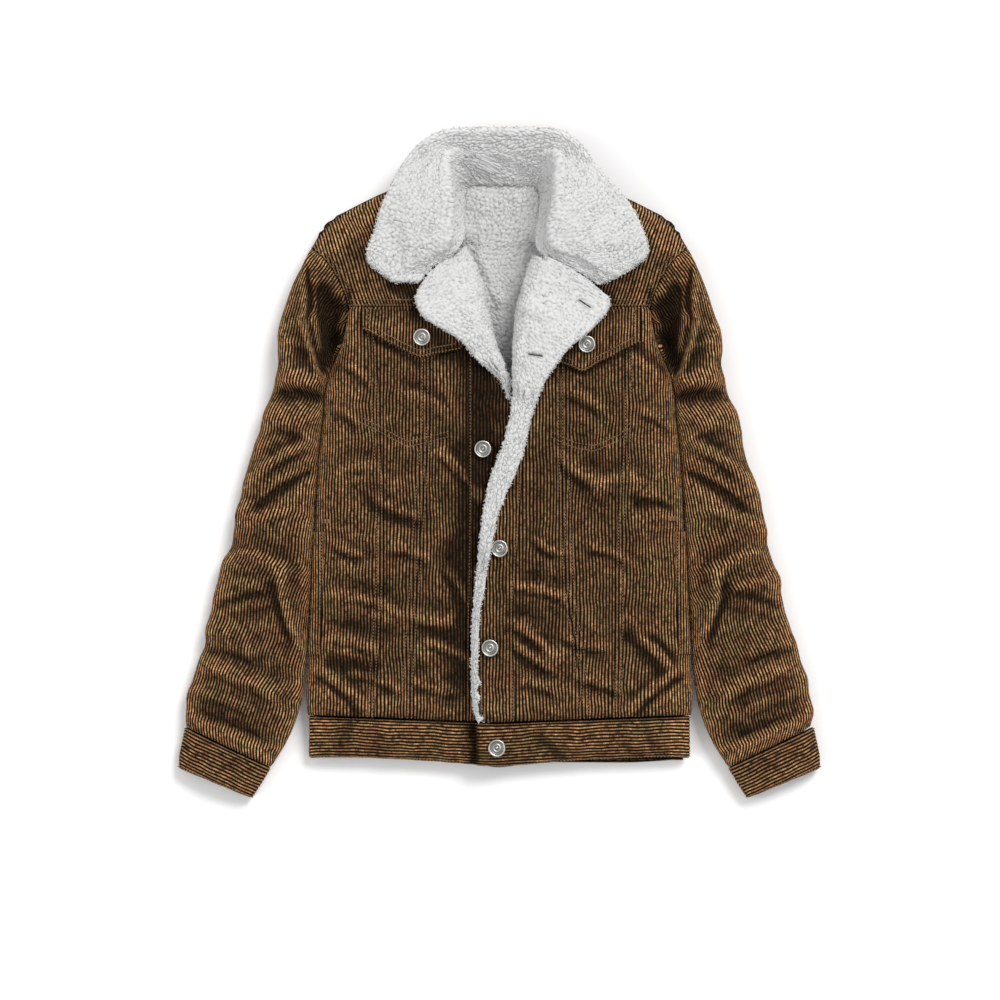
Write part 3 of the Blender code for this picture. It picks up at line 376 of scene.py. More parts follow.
# Sizes of the dressing.
WALE_STEPS = (0.0, 0.17, 0.39, 0.61, 0.83)  # points across one wale, as shares of its pitch
END_SLACK = 0.05  # a column this near a row's end is moved onto it
RING = 96  # points round a sleeve
FLAT_STEPS, BEND_STEPS = 130, 59  # points across a front: flat, and bending down at its side
UNDER_SEAM = math.pi + 0.7  # where a sleeve's seam lies, as an angle from its outer edge
SEAM_ROLL = 1.2  # how far cloth rolls down into a seam
YOKE_BLEND = 30.0  # height over which a front's side roll ends in its yoke
SHOULDER_END_X = 56.0  # the back yoke's edge lies flat nearer the middle than this
STAND_BOW = 0.4  # from 0, a straight stand under the collar's roll, to 1, one bowed outward
NECK_OVERLAP = 7.0  # how far the neck's two piles reach over their seam
WEAR_AND_SHADE_DEPTH = 5.0  # from the deepest hollow, darkest with painted shade, to the highest ridge, lightest with wear
CRUMPLE = 1.3  # height of the small folds all over

Crease = namedtuple("Crease", "x0 y0 x1 y1 width height dip bow")
CREASES = [  # on the fronts; dip above 0 puts the trough on the right of the way down the line
    Crease(-72, 16, -26, -38, 4.2, 2.8, 0.8, 4),
    Crease(-190, -10, -140, -4, 4.2, 2.8, 0.9, 3),
    Crease(-150, -36, -84, -62, 6, 2.8, 0.9, -4),
    Crease(-196, -150, -112, -172, 4.2, 3.2, 0.9, 5),
    Crease(-112, -172, -52, -184, 4.2, 2.4, 0.8, -3),
    Crease(-88, -204, -28, -230, 4.2, 2.8, 0.9, 3),
    Crease(-202, -200, -140, -216, 4.2, 3.7, 1, 4),
    Crease(-196, 66, -160, 44, 4.2, 2.2, 0.8, 3),
    Crease(-190, 120, -150, 96, 4.2, 2, 0.7, 3),
    Crease(-120, 84, -60, 60, 5.1, 1.9, -0.7, 4),
    Crease(-130, -96, -76, -112, 5.1, 2.2, 0.8, 4),
    Crease(-200, -84, -152, -106, 4.2, 2.4, 0.8, -4),
    Crease(-60, -120, -36, -168, 4.2, 2, 0.7, 3),
    Crease(-176, -240, -110, -262, 4.2, 2.4, 0.9, 4),
    Crease(-100, -250, -44, -262, 4.2, 2.2, 0.8, -3),
    Crease(66, 12, 118, -26, 4.2, 2.8, 0.8, -5),
    Crease(112, -24, 160, -18, 4.2, 2.4, 0.8, 4),
    Crease(156, -38, 204, -46, 4.2, 3, 0.9, 3),
    Crease(14, -142, 78, -156, 4.2, 3.2, 0.9, 4),
    Crease(10, -182, 58, -216, 4.2, 3.2, 0.9, 3),
    Crease(14, -204, 62, -236, 4.2, 2.8, 0.9, -3),
    Crease(158, -200, 200, -240, 5.1, 3, -0.9, 4),
    Crease(70, -196, 128, -212, 4.2, 2.4, 0.8, -4),
    Crease(96, -96, 150, -112, 4.2, 2.2, 0.8, 4),
    Crease(40, -88, 84, -104, 4.2, 2, 0.8, -4),
    Crease(160, 60, 200, 40, 4.2, 2.2, 0.8, 3),
    Crease(150, 124, 186, 96, 4.2, 2, -0.7, 3),
    Crease(70, 84, 124, 58, 5.1, 1.9, 0.7, 4),
    Crease(84, -246, 140, -264, 4.2, 2.4, 0.9, 4),
    Crease(20, -250, 66, -262, 4.2, 2, 0.8, 3),
    Crease(-222, -232, -150, -286, 5.1, 3.7, 0.9, 6),
    Crease(222, -232, 146, -288, 5.1, 3.7, -0.9, -6),
]
ARM_HOLLOWS = [  # beside the body, under the arm
    Fold(-190, 176, -193, 140, 11, -13),
    Fold(-193, 140, -203, 112, 9, -9),
]
SLEEVE_CREASES = [  # on the right sleeve; the left one mirrors them
    Crease(-228, 234, -225, 200, 3.2, 6.5, -1.1, 1),
    Crease(-225, 206, -227, 160, 3.2, 6.5, -1.1, 3),
    Crease(-226, 168, -201, 86, 3.2, 6.5, -1.1, -3),
    Crease(-262, 92, -206, 84, 4.2, 3, 1, 3),
    Crease(-250, 140, -214, 128, 4.2, 1.9, 0.9, 3),
    Crease(-286, -18, -206, 28, 5.1, 3, 1, 5),
    Crease(-284, -46, -210, -2, 4.2, 2.5, 1, 5),
    Crease(-262, 46, -216, 30, 4.2, 1.9, 0.9, 3),
    Crease(-300, -70, -240, -54, 4.2, 1.9, -0.9, 4),
    Crease(-306, -100, -250, -126, 4.2, 3, 0.9, 4),
    Crease(-252, -126, -229, -212, 4.2, 3, 0.9, -5),
    Crease(-322, -134, -268, -150, 4.2, 2.2, 0.9, 4),
    Crease(-330, -176, -262, -160, 5.1, 2.5, -0.9, 4),
    Crease(-342, -206, -280, -222, 4.2, 2.2, 0.9, 3),
    Crease(-346, -236, -258, -268, 4.2, 3, 0.9, 5),
    Crease(-356, -262, -280, -286, 4.2, 2.2, 0.9, 4),
    Crease(-358, -292, -262, -332, 5.1, 3.3, -0.8, 3),
]
PILE_FOLDS = [  # on the collar and facings
    Fold(-97, 358, -92, 308, 9, -3.0),
    Fold(-118, 268, -114, 222, 9, -3.0),
    Fold(70, 256, 92, 231, 8, -3.0),
    Fold(92, 231, 113, 205, 8, -2.5),
    Fold(118, 330, 140, 296, 9, -2.5),
    Fold(-84, 372, -60, 330, 12, 2.0),
    Fold(84, 366, 66, 330, 12, 2.0),
    Fold(-22, 302, -22, 233, 7, 2.5),
    Fold(-22, 233, 1, 187, 7, 2.5),
    Fold(1, 187, 6, 118, 7, 2.5),
    Fold(92, 186, 104, 178, 2.0, -3.5),
    Fold(34, 124, 48, 122, 2.0, -3.5),
]

RIM_CURLS = 12.0  # how many more tufts stand along the rim
SEAM_PUFF = 0.3  # how far pile rounds down at a sewn edge
MOUTH_SINK = 11.0  # the sleeve's mouth lies this far below the body's widest line
SLIT_RISE = 0.7  # the buttonholes' thread stands this much out of the pile's backing
GORGE_GAP = 1.6  # from the seam between collar and lapel to the lapel's backing
PILE_OVER = 1.0  # how far the pile stands over the edge of its backing
STITCH_IN, STITCH_APART = 2.0, 6.0  # first row of stitches from a seam, and the second from it
POCKET_POINTS = [  # the stitched bottom of each chest pocket, on the wearer's left
    (58, 30), (87, 17), (107.5, 13.8), (115, 16), (138, 26.5), (150, 40),
]
RIGHT_POCKET_POINTS = [(-160, 47), (-137, 35.6), (-114, 23), (-105, 18.4), (-86, 23), (-58, 30)]
BAR_TACKS = [(-198, -69), (198, -66)]
BUTTONHOLES = [  # middle and turn of each slit in the left lapel, in degrees
    (98, 182, -35), (41, 123, -8),
]

SLEEVE_PIVOT = (-2790.0, 856.0)  # where the lines across the right sleeve would meet
SLEEVE_TURN = 2650.0  # and how far that is from the sleeve
FLAP_PUFF, FLAP_LIFT = 2.0, 0.9  # how far a flap swells, and how far its edge stands off
UNDER_INSET = 2.0  # from the collar's pile edge in to its cloth
FLOOR_CLEAR = 0.2  # nothing lies lower than this
BACK_HEM = [(-200, -335), (-100, -341), (0, -344), (150, -345), (200, -342)]  # x and y
WALE_WANDER = 1.9  # how far wales drift sideways
BUTTON_SIDES = 48
BUTTON_REACH = 10.0  # a button sits on the highest place this near
MAP_CELL = 10.0  # a length that fills one unit of a map
BACK_HEIGHT = 0.6  # the back's wales start this far over the surface
WELT_IN, WELT_WIDTH = 22.0, 26.0  # from the end of a front's roll in to its welt
WELT_LIFT = 2.25
WELT_STITCH_LIFT = 2.6
WELT_TOP, WELT_LOW = 0.55, 0.85  # shares of the way down a front
STITCH_LIFT = 0.4
SLIT_HALF, SLIT_ASIDE = 7.5, 0.35  # half a buttonhole's length, and half its width
TACK_HALF, TACK_ROWS, TACK_STEP = 5.0, 6, 0.8
CURL_COUNT = 5200
UP = np.array([0.0, 0.0, 1.0])
PAINTED_SHADOWS_AND_HIGHLIGHTS = [  # painted shadows beside the fronts' overlap, under the lapels and collar notches, in the armpit hollows and by the waistband's tab and creases; above 0, painted highlights along crease ridges and the body's edges
    Fold(-18, 112, -24, 10, 24, -0.6),
    Fold(-24, 10, -44, -110, 18, -0.6),
    Fold(-44, -110, -48, -270, 14, -0.5),
    Fold(-98, 166, -30, 112, 12, -0.5),
    Fold(-122, 204, -92, 188, 10, -0.6),
    Fold(118, 164, 62, 106, 9, -0.35),
    Fold(112, 196, 128, 190, 7, -0.4),
    Fold(-198, 186, -194, 112, 13, -0.9),
    Fold(198, 186, 194, 112, 13, -0.9),
    Fold(-227, 233, -226, 175, 2.4, 0.5),
    Fold(-226, 175, -203, 92, 2.4, 0.6),
    Fold(227, 233, 226, 175, 2.4, 0.5),
    Fold(226, 175, 203, 92, 2.4, 0.6),
    Fold(-180, 136, -194, 105, 2.4, 0.5),
    Fold(-194, 105, -204, 4, 2.4, 0.5),
    Fold(-204, 4, -207, -42, 2.4, 0.4),
    Fold(181, 136, 197, 100, 2.4, 0.5),
    Fold(197, 100, 207, 4, 2.4, 0.5),
    Fold(207, 4, 208, -42, 2.4, 0.4),
    Fold(-149, 213, -117, 187, 2.2, 0.5),
    Fold(-30, -302, -27, -350, 4, -0.6),
    Fold(-172, -301, -183, -325, 5, -0.35),
    Fold(-201, -322, -206, -334, 8, -0.3),
    Fold(-132, -306, -137, -330, 7, -0.2),
    Fold(-36, -306, -28, -346, 7, -0.5),
    Fold(46, -313, 70, -338, 6, -0.4),
    Fold(167, -301, 175, -321, 5, -0.35),
    Fold(142, -324, 162, -337, 6, -0.3),
]
FLAP_PAINTED_SHADOWS = [  # painted shadows under the edges of the pocket flaps
    Fold(-158, 176, -154, 150, 3.5, -0.6),
    Fold(-154, 146, -92, 114, 3.5, -0.7),
    Fold(-92, 114, -44, 128, 3.5, -0.6),
    Fold(165, 136, 95, 103, 3.0, -0.6),
    Fold(95, 103, 70, 112, 3.0, -0.6),
]

# Curves, noise and relief, all on arrays


def mix(a, b, t):
    return a + (b - a) * t


def ease(t):
    """0 to 1 with level ends."""
    t = np.clip(t, 0.0, 1.0)
    return t * t * (3 - 2 * t)


def rounded(t):
    """Quarter-circle rise from 0 to 1."""
    return np.sqrt(1 - (1 - np.clip(t, 0.0, 1.0)) ** 2)


def bell(distance, width):
    """1 in the middle of a soft line, falling to 0 at about twice its width."""
    return np.exp(-((distance / width) ** 2))


def smooth_curve(places, values, at):
    """Values, or points, at each place on a smooth curve whose places rise."""
    places = np.asarray(places, float)
    values = np.asarray(values, float)
    at = np.clip(np.asarray(at, float), places[0], places[-1])
    more = (1,) * (values.ndim - 1)
    gaps = (places[2:] - places[:-2]).reshape(-1, *more)
    slopes = np.empty_like(values)
    slopes[1:-1] = (values[2:] - values[:-2]) / gaps
    slopes[0] = (values[1] - values[0]) / (places[1] - places[0])
    slopes[-1] = (values[-1] - values[-2]) / (places[-1] - places[-2])
    i = np.clip(np.searchsorted(places, at, "right") - 1, 0, len(places) - 2)
    span = np.reshape(places[i + 1] - places[i], at.shape + more)
    t = np.reshape(at - places[i], at.shape + more) / span
    level = mix(values[i], values[i + 1], t * t * (3 - 2 * t))
    return level + span * (slopes[i] * t * (1 - t) ** 2 - slopes[i + 1] * t * t * (1 - t))


def at_y(table, name, y):
    """One column of a table at heights y; the table's rows run from high y to low."""
    return smooth_curve([-row.y for row in table], [getattr(row, name) for row in table], -y)


def at_row(table, name, place):
    """One column of a table at places counted in rows, such as 2.5."""
    return smooth_curve(range(len(table)), [getattr(row, name) for row in table], place)


def table_at(table, places):
    """Every column of a table at places counted in rows, each as one array downwards."""
    return {name: at_row(table, name, places)[:, None] for name in table[0]._fields}


def run_along(points, axis=0):
    """Length from the first point of each line to its points."""
    steps = np.linalg.norm(np.diff(points, axis=axis), axis=-1)
    return np.insert(np.cumsum(steps, axis=axis), 0, 0.0, axis=axis)


def mean_run(grid, axis=0):
    """Length from a grid's first row, or first column, to the others, over their mean steps."""
    steps = np.linalg.norm(np.diff(grid, axis=axis), axis=2).mean(axis=1 - axis)
    return np.insert(np.cumsum(steps), 0, 0.0)


def on_lines(across, lines):
    """Points at lengths across a form; lines has the running lengths and points of each row."""
    found = []
    for at, (runs, line) in zip(across, lines):
        found.append(np.stack([np.interp(at, runs, line[:, axis]) for axis in range(3)], 1))
    return np.stack(found)


def along_line(points, t):
    """Places along a smooth line through points, from 0 to 1."""
    points = np.asarray(points, float)
    runs = run_along(points)
    return smooth_curve(runs, points, np.asarray(t) * runs[-1])


def chance(ix, iy, seed):
    """A fixed number from -1 to 1 for each whole-number cell."""
    bits = (ix.astype(np.int64) * 374761393 + iy.astype(np.int64) * 668265263) & 0xFFFFFFFF
    bits = (bits + seed * 1274126177) & 0xFFFFFFFF
    bits = ((bits ^ (bits >> 13)) * 1274126177) & 0xFFFFFFFF
    return ((bits ^ (bits >> 16)) & 0xFFFF) / 32767.5 - 1


def noise(x, y, seed):
    """Smooth noise from -1 to 1, one swell to each unit."""
    x, y = np.broadcast_arrays(np.asarray(x, float), np.asarray(y, float))
    ix, iy = np.floor(x), np.floor(y)
    tx, ty = ease(x - ix), ease(y - iy)
    low = mix(chance(ix, iy, seed), chance(ix + 1, iy, seed), tx)
    high = mix(chance(ix, iy + 1, seed), chance(ix + 1, iy + 1, seed), tx)
    return mix(low, high, ty)


def crumple(x, y, seed):
    """Sharp-backed small folds, from about -1 to 1."""
    lean = x + 0.45 * y
    ridges = 1 - 2 * np.abs(noise(lean / 52, y / 34, seed))
    small = 1 - 2 * np.abs(noise(x / 21 + 7, (y - 0.3 * x) / 26, seed + 1))
    return 0.65 * ridges + 0.35 * small


def pebbles(u, v, cell, seed):
    """Rounded knots, from 0 in the grooves between them to 1 on top."""
    wander = 0.35 * cell
    u, v = u + wander * noise(u / 14, v / 14, seed), v + wander * noise(u / 14, v / 14 + 9, seed)
    u, v = u / cell, v / cell
    near = np.full(np.shape(u), 9.0)
    second = near.copy()
    for du in (-1, 0, 1):
        for dv in (-1, 0, 1):
            ix, iy = np.floor(u) + du, np.floor(v) + dv
            away_u = ix + 0.5 + 0.4 * chance(ix, iy, seed) - u
            away_v = iy + 0.5 + 0.4 * chance(ix, iy, seed + 1) - v
            away = np.hypot(away_u, away_v)
            second = np.minimum(second, np.maximum(near, away))
            near = np.minimum(near, away)
    return rounded((second - near) / 0.75)


def relief(folds, x, y):
    """Height that soft folds add."""
    total = np.zeros(np.shape(x))
    for fold in folds:
        run_x, run_y = fold.x1 - fold.x0, fold.y1 - fold.y0
        t = ((x - fold.x0) * run_x + (y - fold.y0) * run_y) / (run_x**2 + run_y**2)
        t = np.clip(t, 0.0, 1.0)
        away = np.hypot(x - fold.x0 - t * run_x, y - fold.y0 - t * run_y)
        total = total + fold.height * bell(away, fold.width)
    return total


def creased(creases, x, y):
    """Height of creases: a ridge that fades at its ends, with a trough along one side."""
    total = np.zeros(np.shape(x))
    for crease in creases:
        run_x, run_y = crease.x1 - crease.x0, crease.y1 - crease.y0
        length = math.hypot(run_x, run_y)
        t = ((x - crease.x0) * run_x + (y - crease.y0) * run_y) / length**2
        aside = ((x - crease.x0) * run_y - (y - crease.y0) * run_x) / length
        aside = aside + crease.bow * (1 - (2 * t - 1) ** 2)
        fade = np.clip(1.15 - np.abs(2 * t - 1) ** 3, 0, 1) * (np.abs(2 * t - 1) < 1.05)
        ridge = bell(aside, crease.width)
        trough = bell(aside - math.copysign(1.7 * crease.width, crease.dip), 1.1 * crease.width)
        total = total + crease.height * fade * (ridge - abs(crease.dip) * trough)
    return total


# Meshes from arrays


def make_mesh(name, points, faces, uvs, look, wear=None):
    """A shaded piece from points in millimetres.

    uvs hold each point's place on the cloth. wear holds one number from 0 to 1 for its finish: for
    cloth, how far it stands out, giving wear lighter on ridges and painted shade in hollows, with
    painted shadows and highlights added; for pile, how high a knot is, giving painted shade between
    knots; for metal, how bright it is rubbed.
    """
    mesh = bpy.data.meshes.new(name)
    used, back = np.unique(np.concatenate([part.ravel() for part in faces]), return_inverse=True)
    parts, start = [], 0
    for part in faces:
        parts += back[start : start + part.size].reshape(part.shape).tolist()
        start += part.size
    points = np.column_stack([points[:, :2], np.maximum(points[:, 2], FLOOR_CLEAR)])
    mesh.from_pydata((points[used] * MM).tolist(), [], parts)
    layer = mesh.uv_layers.new(name="cloth")
    corners = np.empty(len(mesh.loops), np.int32)
    mesh.loops.foreach_get("vertex_index", corners)
    layer.data.foreach_set("uv", uvs[used][corners].astype(np.float32).ravel())
    if wear is not None:
        layer = mesh.uv_layers.new(name="wear")
        pairs = np.stack([wear, 0 * wear], 1)[used][corners]
        layer.data.foreach_set("uv", pairs.astype(np.float32).ravel())
    mesh.shade_smooth()
    obj = bpy.data.objects.new(name, mesh)
    obj.data.materials.append(look)
    bpy.data.collections[COLLECTION].objects.link(obj)
    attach(obj, "root")
    return obj


def cut_as(widths, runs):
    """Works out how large a sheet was cut, from its widths at places along it, in millimetres; nothing
    uses the result.
    """
    width, length = float(widths.max()) * MM, float(runs[-1] - runs[0]) * MM
    area = float(((widths[1:] + widths[:-1]) / 2 * np.diff(runs)).sum()) * MM**2
    area = min(area, width * length)


def grid_faces(ids, out):
    """Quads and triangles of a grid of point numbers, where cells may have closed up."""
    a, d = ids[:-1, :-1].ravel(), ids[:-1, 1:].ravel()
    b, c = ids[1:, :-1].ravel(), ids[1:, 1:].ravel()
    if out < 0:
        b, d = d, b
        shut_one, shut_two = a == b, d == c
    else:
        shut_one, shut_two = a == d, b == c
    whole = ~shut_one & ~shut_two
    quads = np.stack([a, d, c, b], 1)[whole]
    if out < 0:
        three = np.stack([a, d, c], 1)[shut_one & ~shut_two]
        other = np.stack([a, c, b], 1)[shut_two & ~shut_one]
    else:
        three = np.stack([a, c, b], 1)[shut_one & ~shut_two]
        other = np.stack([a, d, c], 1)[shut_two & ~shut_one]
    return [quads, np.concatenate([three, other])]


def turned_under(points, normals, uvs, faces, turns):
    """Adds strips that turn the free edges under: each turn is (down, in), in millimetres."""
    starts, ends = [], []
    for part in faces:
        for k in range(part.shape[1]):
            starts.append(part[:, k])
            ends.append(part[:, (k + 1) % part.shape[1]])
    starts, ends = np.concatenate(starts), np.concatenate(ends)
    base = len(points) + 1
    free = ~np.isin(starts * base + ends, ends * base + starts)
    starts, ends = starts[free], ends[free]
    run = points[ends] - points[starts]
    inward = unit(np.cross(normals[starts], run))
    total = np.zeros_like(points)
    np.add.at(total, starts, inward)
    np.add.at(total, ends, inward)
    rim = np.unique(np.concatenate([starts, ends]))
    way = unit(total[rim])
    place = np.full(len(points), -1)
    place[rim] = np.arange(len(rim))
    last_starts, last_ends = starts, ends
    for down, inside in turns:
        first = len(points)
        moved = points[rim] - normals[rim] * down + way * inside
        points = np.concatenate([points, moved])
        uvs = np.concatenate([uvs, uvs[rim]])
        next_starts, next_ends = first + place[starts], first + place[ends]
        faces = faces + [np.stack([last_ends, last_starts, next_starts, next_ends], 1)]
        last_starts, last_ends = next_starts, next_ends
    return points, uvs, faces


def unit(vectors):
    return vectors / np.maximum(np.linalg.norm(vectors, axis=-1, keepdims=True), 1e-9)


def standing_out(points, normals, reach):
    """How far each point of a grid stands over the middle of its neighbours, in millimetres."""
    total = np.zeros_like(points)
    for axis, far in enumerate(reach):
        padding = [(0, 0)] * 3
        padding[axis] = (far, far)
        padded = np.pad(points, padding, "reflect", reflect_type="odd")
        size = points.shape[axis]
        before = np.take(padded, range(size), axis)
        total += before + np.take(padded, range(2 * far, size + 2 * far), axis)
    return ((points - total / 4) * normals).sum(axis=-1)


class Terrain:
    """Heights of what is laid so far, on a square raster."""

    CELL = 3.5
    LOW = (-240.0, -400.0)
    COUNT = (138, 230)

    def __init__(self):
        self.heights = np.zeros(self.COUNT)

    def cells(self, x, y):
        i = np.clip(((x - self.LOW[0]) / self.CELL).astype(int), 0, self.COUNT[0] - 1)
        j = np.clip(((y - self.LOW[1]) / self.CELL).astype(int), 0, self.COUNT[1] - 1)
        return i, j

    def lay(self, points):
        """Raises the raster to a piece's points."""
        points = points.reshape(-1, 3)
        i, j = self.cells(points[:, 0], points[:, 1])
        np.maximum.at(self.heights, (i, j), points[:, 2])

    def rest(self, x, y, reach):
        """Height of the highest surface within reach."""
        top = np.zeros(np.shape(x))
        steps = int(math.ceil(reach / self.CELL))
        for di in range(-steps, steps + 1):
            for dj in range(-steps, steps + 1):
                if math.hypot(di, dj) * self.CELL > reach + 0.5 * self.CELL:
                    continue
                i, j = self.cells(x + di * self.CELL, y + dj * self.CELL)
                top = np.maximum(top, self.heights[i, j])
        return top


def clamped(rows, low, high):
    """Points across each row, held between its ends, with their numbers and the wales' pitch."""
    pitch = bpy.context.scene.jacket_corduroy.pitch / MM
    wales = np.arange(math.floor(low.min() / pitch), math.ceil(high.max() / pitch) + 1)
    columns = ((wales[:, None] + np.array(WALE_STEPS)) * pitch).ravel()
    first = np.searchsorted(columns, low + END_SLACK, "right") - 1
    last = np.searchsorted(columns, high - END_SLACK, "left")
    across = np.clip(columns[None, :], low[:, None], high[:, None])
    numbers = np.arange(len(columns))[None, :]
    numbers = np.clip(numbers, first[:, None], last[:, None])
    ids = numbers + np.arange(len(rows))[:, None] * len(columns)
    return across, ids, pitch


def wandering(across, run, low, high):
    """Places across a panel whose wales drift a little, but not along its edges."""
    drift = noise(across / 48, run / 40, 15) + 0.4 * noise(across / 16, run / 13, 16)
    inside = np.minimum(across - low[:, None], high[:, None] - across)
    return across + drift * WALE_WANDER * ease(inside / 14)


def wale_height(count, run, depth):
    """Height of wales, 0 on their crests, where count is how many wales lie before a place."""
    whole = np.floor(count + 1e-6)
    phase = np.abs(2 * (count - whole) - 1)
    depth = depth * (0.82 + 0.18 * noise(whole * 3.7, run / 9, 11))
    return phase**4 * -depth + 0.12 * noise(whole * 5.1 + 40, run / 5, 12)


def cloth_wear_and_shade(name, points, normals):
    """How light cloth looks: 0 in hollows and 1 on ridges, as wear lighter on ridges and painted shade
    in hollows, with the tables' painted shadows and highlights added.
    """
    out_by = standing_out(points, normals, (2, 9)) + 0.8 * standing_out(points, normals, (4, 18))
    wear = np.clip(0.5 + out_by / WEAR_AND_SHADE_DEPTH, 0, 1)
    if "back" in name:
        return wear
    # painted shadows and painted highlights, on every piece but the back
    painted_marks = PAINTED_SHADOWS_AND_HIGHLIGHTS + (FLAP_PAINTED_SHADOWS if "front" in name else [])
    return np.clip(wear + relief(painted_marks, points[..., 0], points[..., 1]), 0, 1)


def corduroy(
    name, place, rows, low, high, out, wrap=False, thickness=CLOTH, seam=(1, 1, 1, 1), lift=0.0,
):
    """A panel of corduroy, cut to low and high across its wales, one pair for each row.

    place(across, rows) gives the smooth form. out is 1 where across and down turn to the
    outside, and -1 where they turn to the inside. seam says which edges are sewn: low, high,
    first row, last row.
    """
    settings = bpy.context.scene.jacket_corduroy
    across, ids, pitch = clamped(rows, low, high)
    nudge, row_nudge = 0.6, 0.2 * (rows[1] - rows[0])
    ways = place(across + nudge, rows) - place(across - nudge, rows)
    runs = place(across, rows + row_nudge) - place(across, rows - row_nudge)
    normals = unit(np.cross(ways, runs) * out)
    run = mean_run(place(across, rows))[:, None] + 0 * across
    points = place(wandering(across, run, low, high), rows)
    count = across / pitch
    height = lift + wale_height(count, run, settings.depth / MM)
    edges = (across - low[:, None], high[:, None] - across, run, run[-1:] - run)
    for sewn, away in zip(seam, edges):
        if sewn:
            height = height - SEAM_ROLL * bell(away, 1.3)
            height = height + 0.7 * noise(run / 7, across / 60, 13) * bell(away - 4, 7)
    uvs = np.stack([count, run / pitch, cloth_wear_and_shade(name, points, normals)], 2)
    points = points + normals * height[..., None]
    if wrap:
        ids[-1] = ids[0]
    turns = ((0.7, -0.1), (thickness, 0.6), (thickness, 1.2))
    flat, flat_uvs, faces = turned_under(
        points.reshape(-1, 3), normals.reshape(-1, 3), uvs.reshape(-1, 3),
        grid_faces(ids, out), turns,
    )
    look = material("brown_corduroy")
    obj = make_mesh(name, flat, faces, flat_uvs[:, :2], look, flat_uvs[:, 2])
    cut_as(high - low, run[:, 0])
    return obj, points


def refined(coarse, spacing):
    """A coarse grid of points made smooth and fine, with its two running lengths."""
    grid = np.asarray(coarse, float)
    for _ in range(2):
        runs = mean_run(grid)
        longest = np.linalg.norm(np.diff(grid, axis=0), axis=2).sum(axis=0).max()
        count = max(int(mix(runs[-1], longest, 0.75) / spacing), 2)
        grid = smooth_curve(runs, grid, np.linspace(0, runs[-1], count + 1))
        grid = grid.transpose(1, 0, 2)
    return grid, run_along(grid, 0), run_along(grid, 1)


def grid_normals(grid, out):
    return unit(np.cross(np.gradient(grid, axis=1), np.gradient(grid, axis=0)) * out)


def longer(grid, over):
    """A coarse grid whose edges reach further: first row, last row, first and last column."""
    for near, far in (over[:2], over[2:]):
        first = grid[0] + near * unit(grid[0] - grid[1])
        last = grid[-1] + far * unit(grid[-1] - grid[-2])
        grid = np.concatenate([first[None], grid[1:-1], last[None]]).transpose(1, 0, 2)
    return grid


def curly_pile(
    name, coarse, thickness, out, seed, lift=0.0, puffed=(1, 1, 1, 1), over=(0, 0, 0, 0),
):
    """A sheet of curly pile over its backing: puffed edges and rounded knots.

    puffed says how far each edge rounds down, and over how far the pile reaches past it: first
    row, last row, first column, last column.
    """
    sizes = bpy.context.scene.jacket_pile
    grid, u, v = refined(longer(coarse, over), sizes.spacing / MM)
    normals = grid_normals(grid, out)
    puff = 0 * u
    for share, away in zip(puffed, (u, u[-1:] - u, v, v[:, -1:] - v)):
        puff = np.maximum(puff, share * thickness * (1 - rounded(away / (1.1 * thickness))))
    knot = sizes.knot / MM
    knots = pebbles(u, v, knot, seed)
    size = 0.75 + 0.35 * noise(u / knot, v / knot, seed + 5)
    height = lift - puff + sizes.depth / MM * (knots * size - 0.6)
    height = height + 0.9 * noise(u / 26, v / 26, seed + 7)
    height = height + relief(PILE_FOLDS, grid[..., 0], grid[..., 1])
    points = grid + normals * height[..., None]
    ids = np.arange(u.size).reshape(u.shape)
    uvs = np.stack([u / MAP_CELL, v / MAP_CELL, knots], 2).reshape(-1, 3)
    flat, flat_uvs, faces = turned_under(
        points.reshape(-1, 3), normals.reshape(-1, 3), uvs, grid_faces(ids, out),
        ((0.5, 0.6), (0.6, 4.0)),
    )
    look = material("white_curly_pile")
    obj = make_mesh(name, flat, faces, flat_uvs[:, :2], look, flat_uvs[:, 2])
    cut_as(v[:, -1], u.mean(axis=1))
    return obj, points, normals


def rim_ways(grid):
    """For each point of a grid's rim the way out of the grid, and nothing elsewhere."""
    ways = np.zeros_like(grid)
    for band in range(2):
        ways[band] += unit(grid[band] - grid[band + 2])
        ways[-1 - band] += unit(grid[-1 - band] - grid[-3 - band])
        ways[:, band] += unit(grid[:, band] - grid[:, band + 2])
        ways[:, -1 - band] += unit(grid[:, -1 - band] - grid[:, -3 - band])
    return ways


def curls(name, sources, count, seed):
    """Loose tufts of pile: most of them stand out along the edges, the rest lie on the knots."""
    draw = np.random.default_rng(seed)
    points = np.concatenate([points.reshape(-1, 3) for points, _ in sources])
    normals = np.concatenate([normals.reshape(-1, 3) for _, normals in sources])
    ways = np.concatenate([rim_ways(points).reshape(-1, 3) for points, _ in sources])
    shares = 1 + RIM_CURLS * np.linalg.norm(ways, axis=1)
    chosen = draw.choice(len(points), count, p=shares / shares.sum())
    foot, up = points[chosen], unit(normals[chosen] + 1.6 * ways[chosen])
    side = unit(np.cross(up, draw.normal(size=(count, 3))))
    size = draw.uniform(0.8, 1.5, (count, 1))
    path = [
        foot - 0.6 * up,
        foot + size * (0.9 * up + 0.45 * side),
        foot + size * (0.9 * up + 1.7 * side),
    ]
    other = np.cross(up, side)
    rings = []
    for step, radius in zip(path, (0.8, 0.75, 0.2)):
        for turn in range(3):
            angle = 2 * math.pi * turn / 3
            out = math.cos(angle) * other + math.sin(angle) * unit(up - 0.5 * side)
            rings.append(step + radius * out)
    flat = np.stack(rings, 1).reshape(-1, 3)
    start = 9 * np.arange(count)[:, None]
    faces = []
    for ring in range(2):
        for turn in range(3):
            a, b = 3 * ring + turn, 3 * ring + (turn + 1) % 3
            faces.append(start + np.array([[a, b, b + 3, a + 3]]))
    tips = np.ones(len(flat))
    look = material("white_curly_pile")
    obj = make_mesh(name, flat, faces, flat[:, :2] / MAP_CELL, look, tips)
    return obj


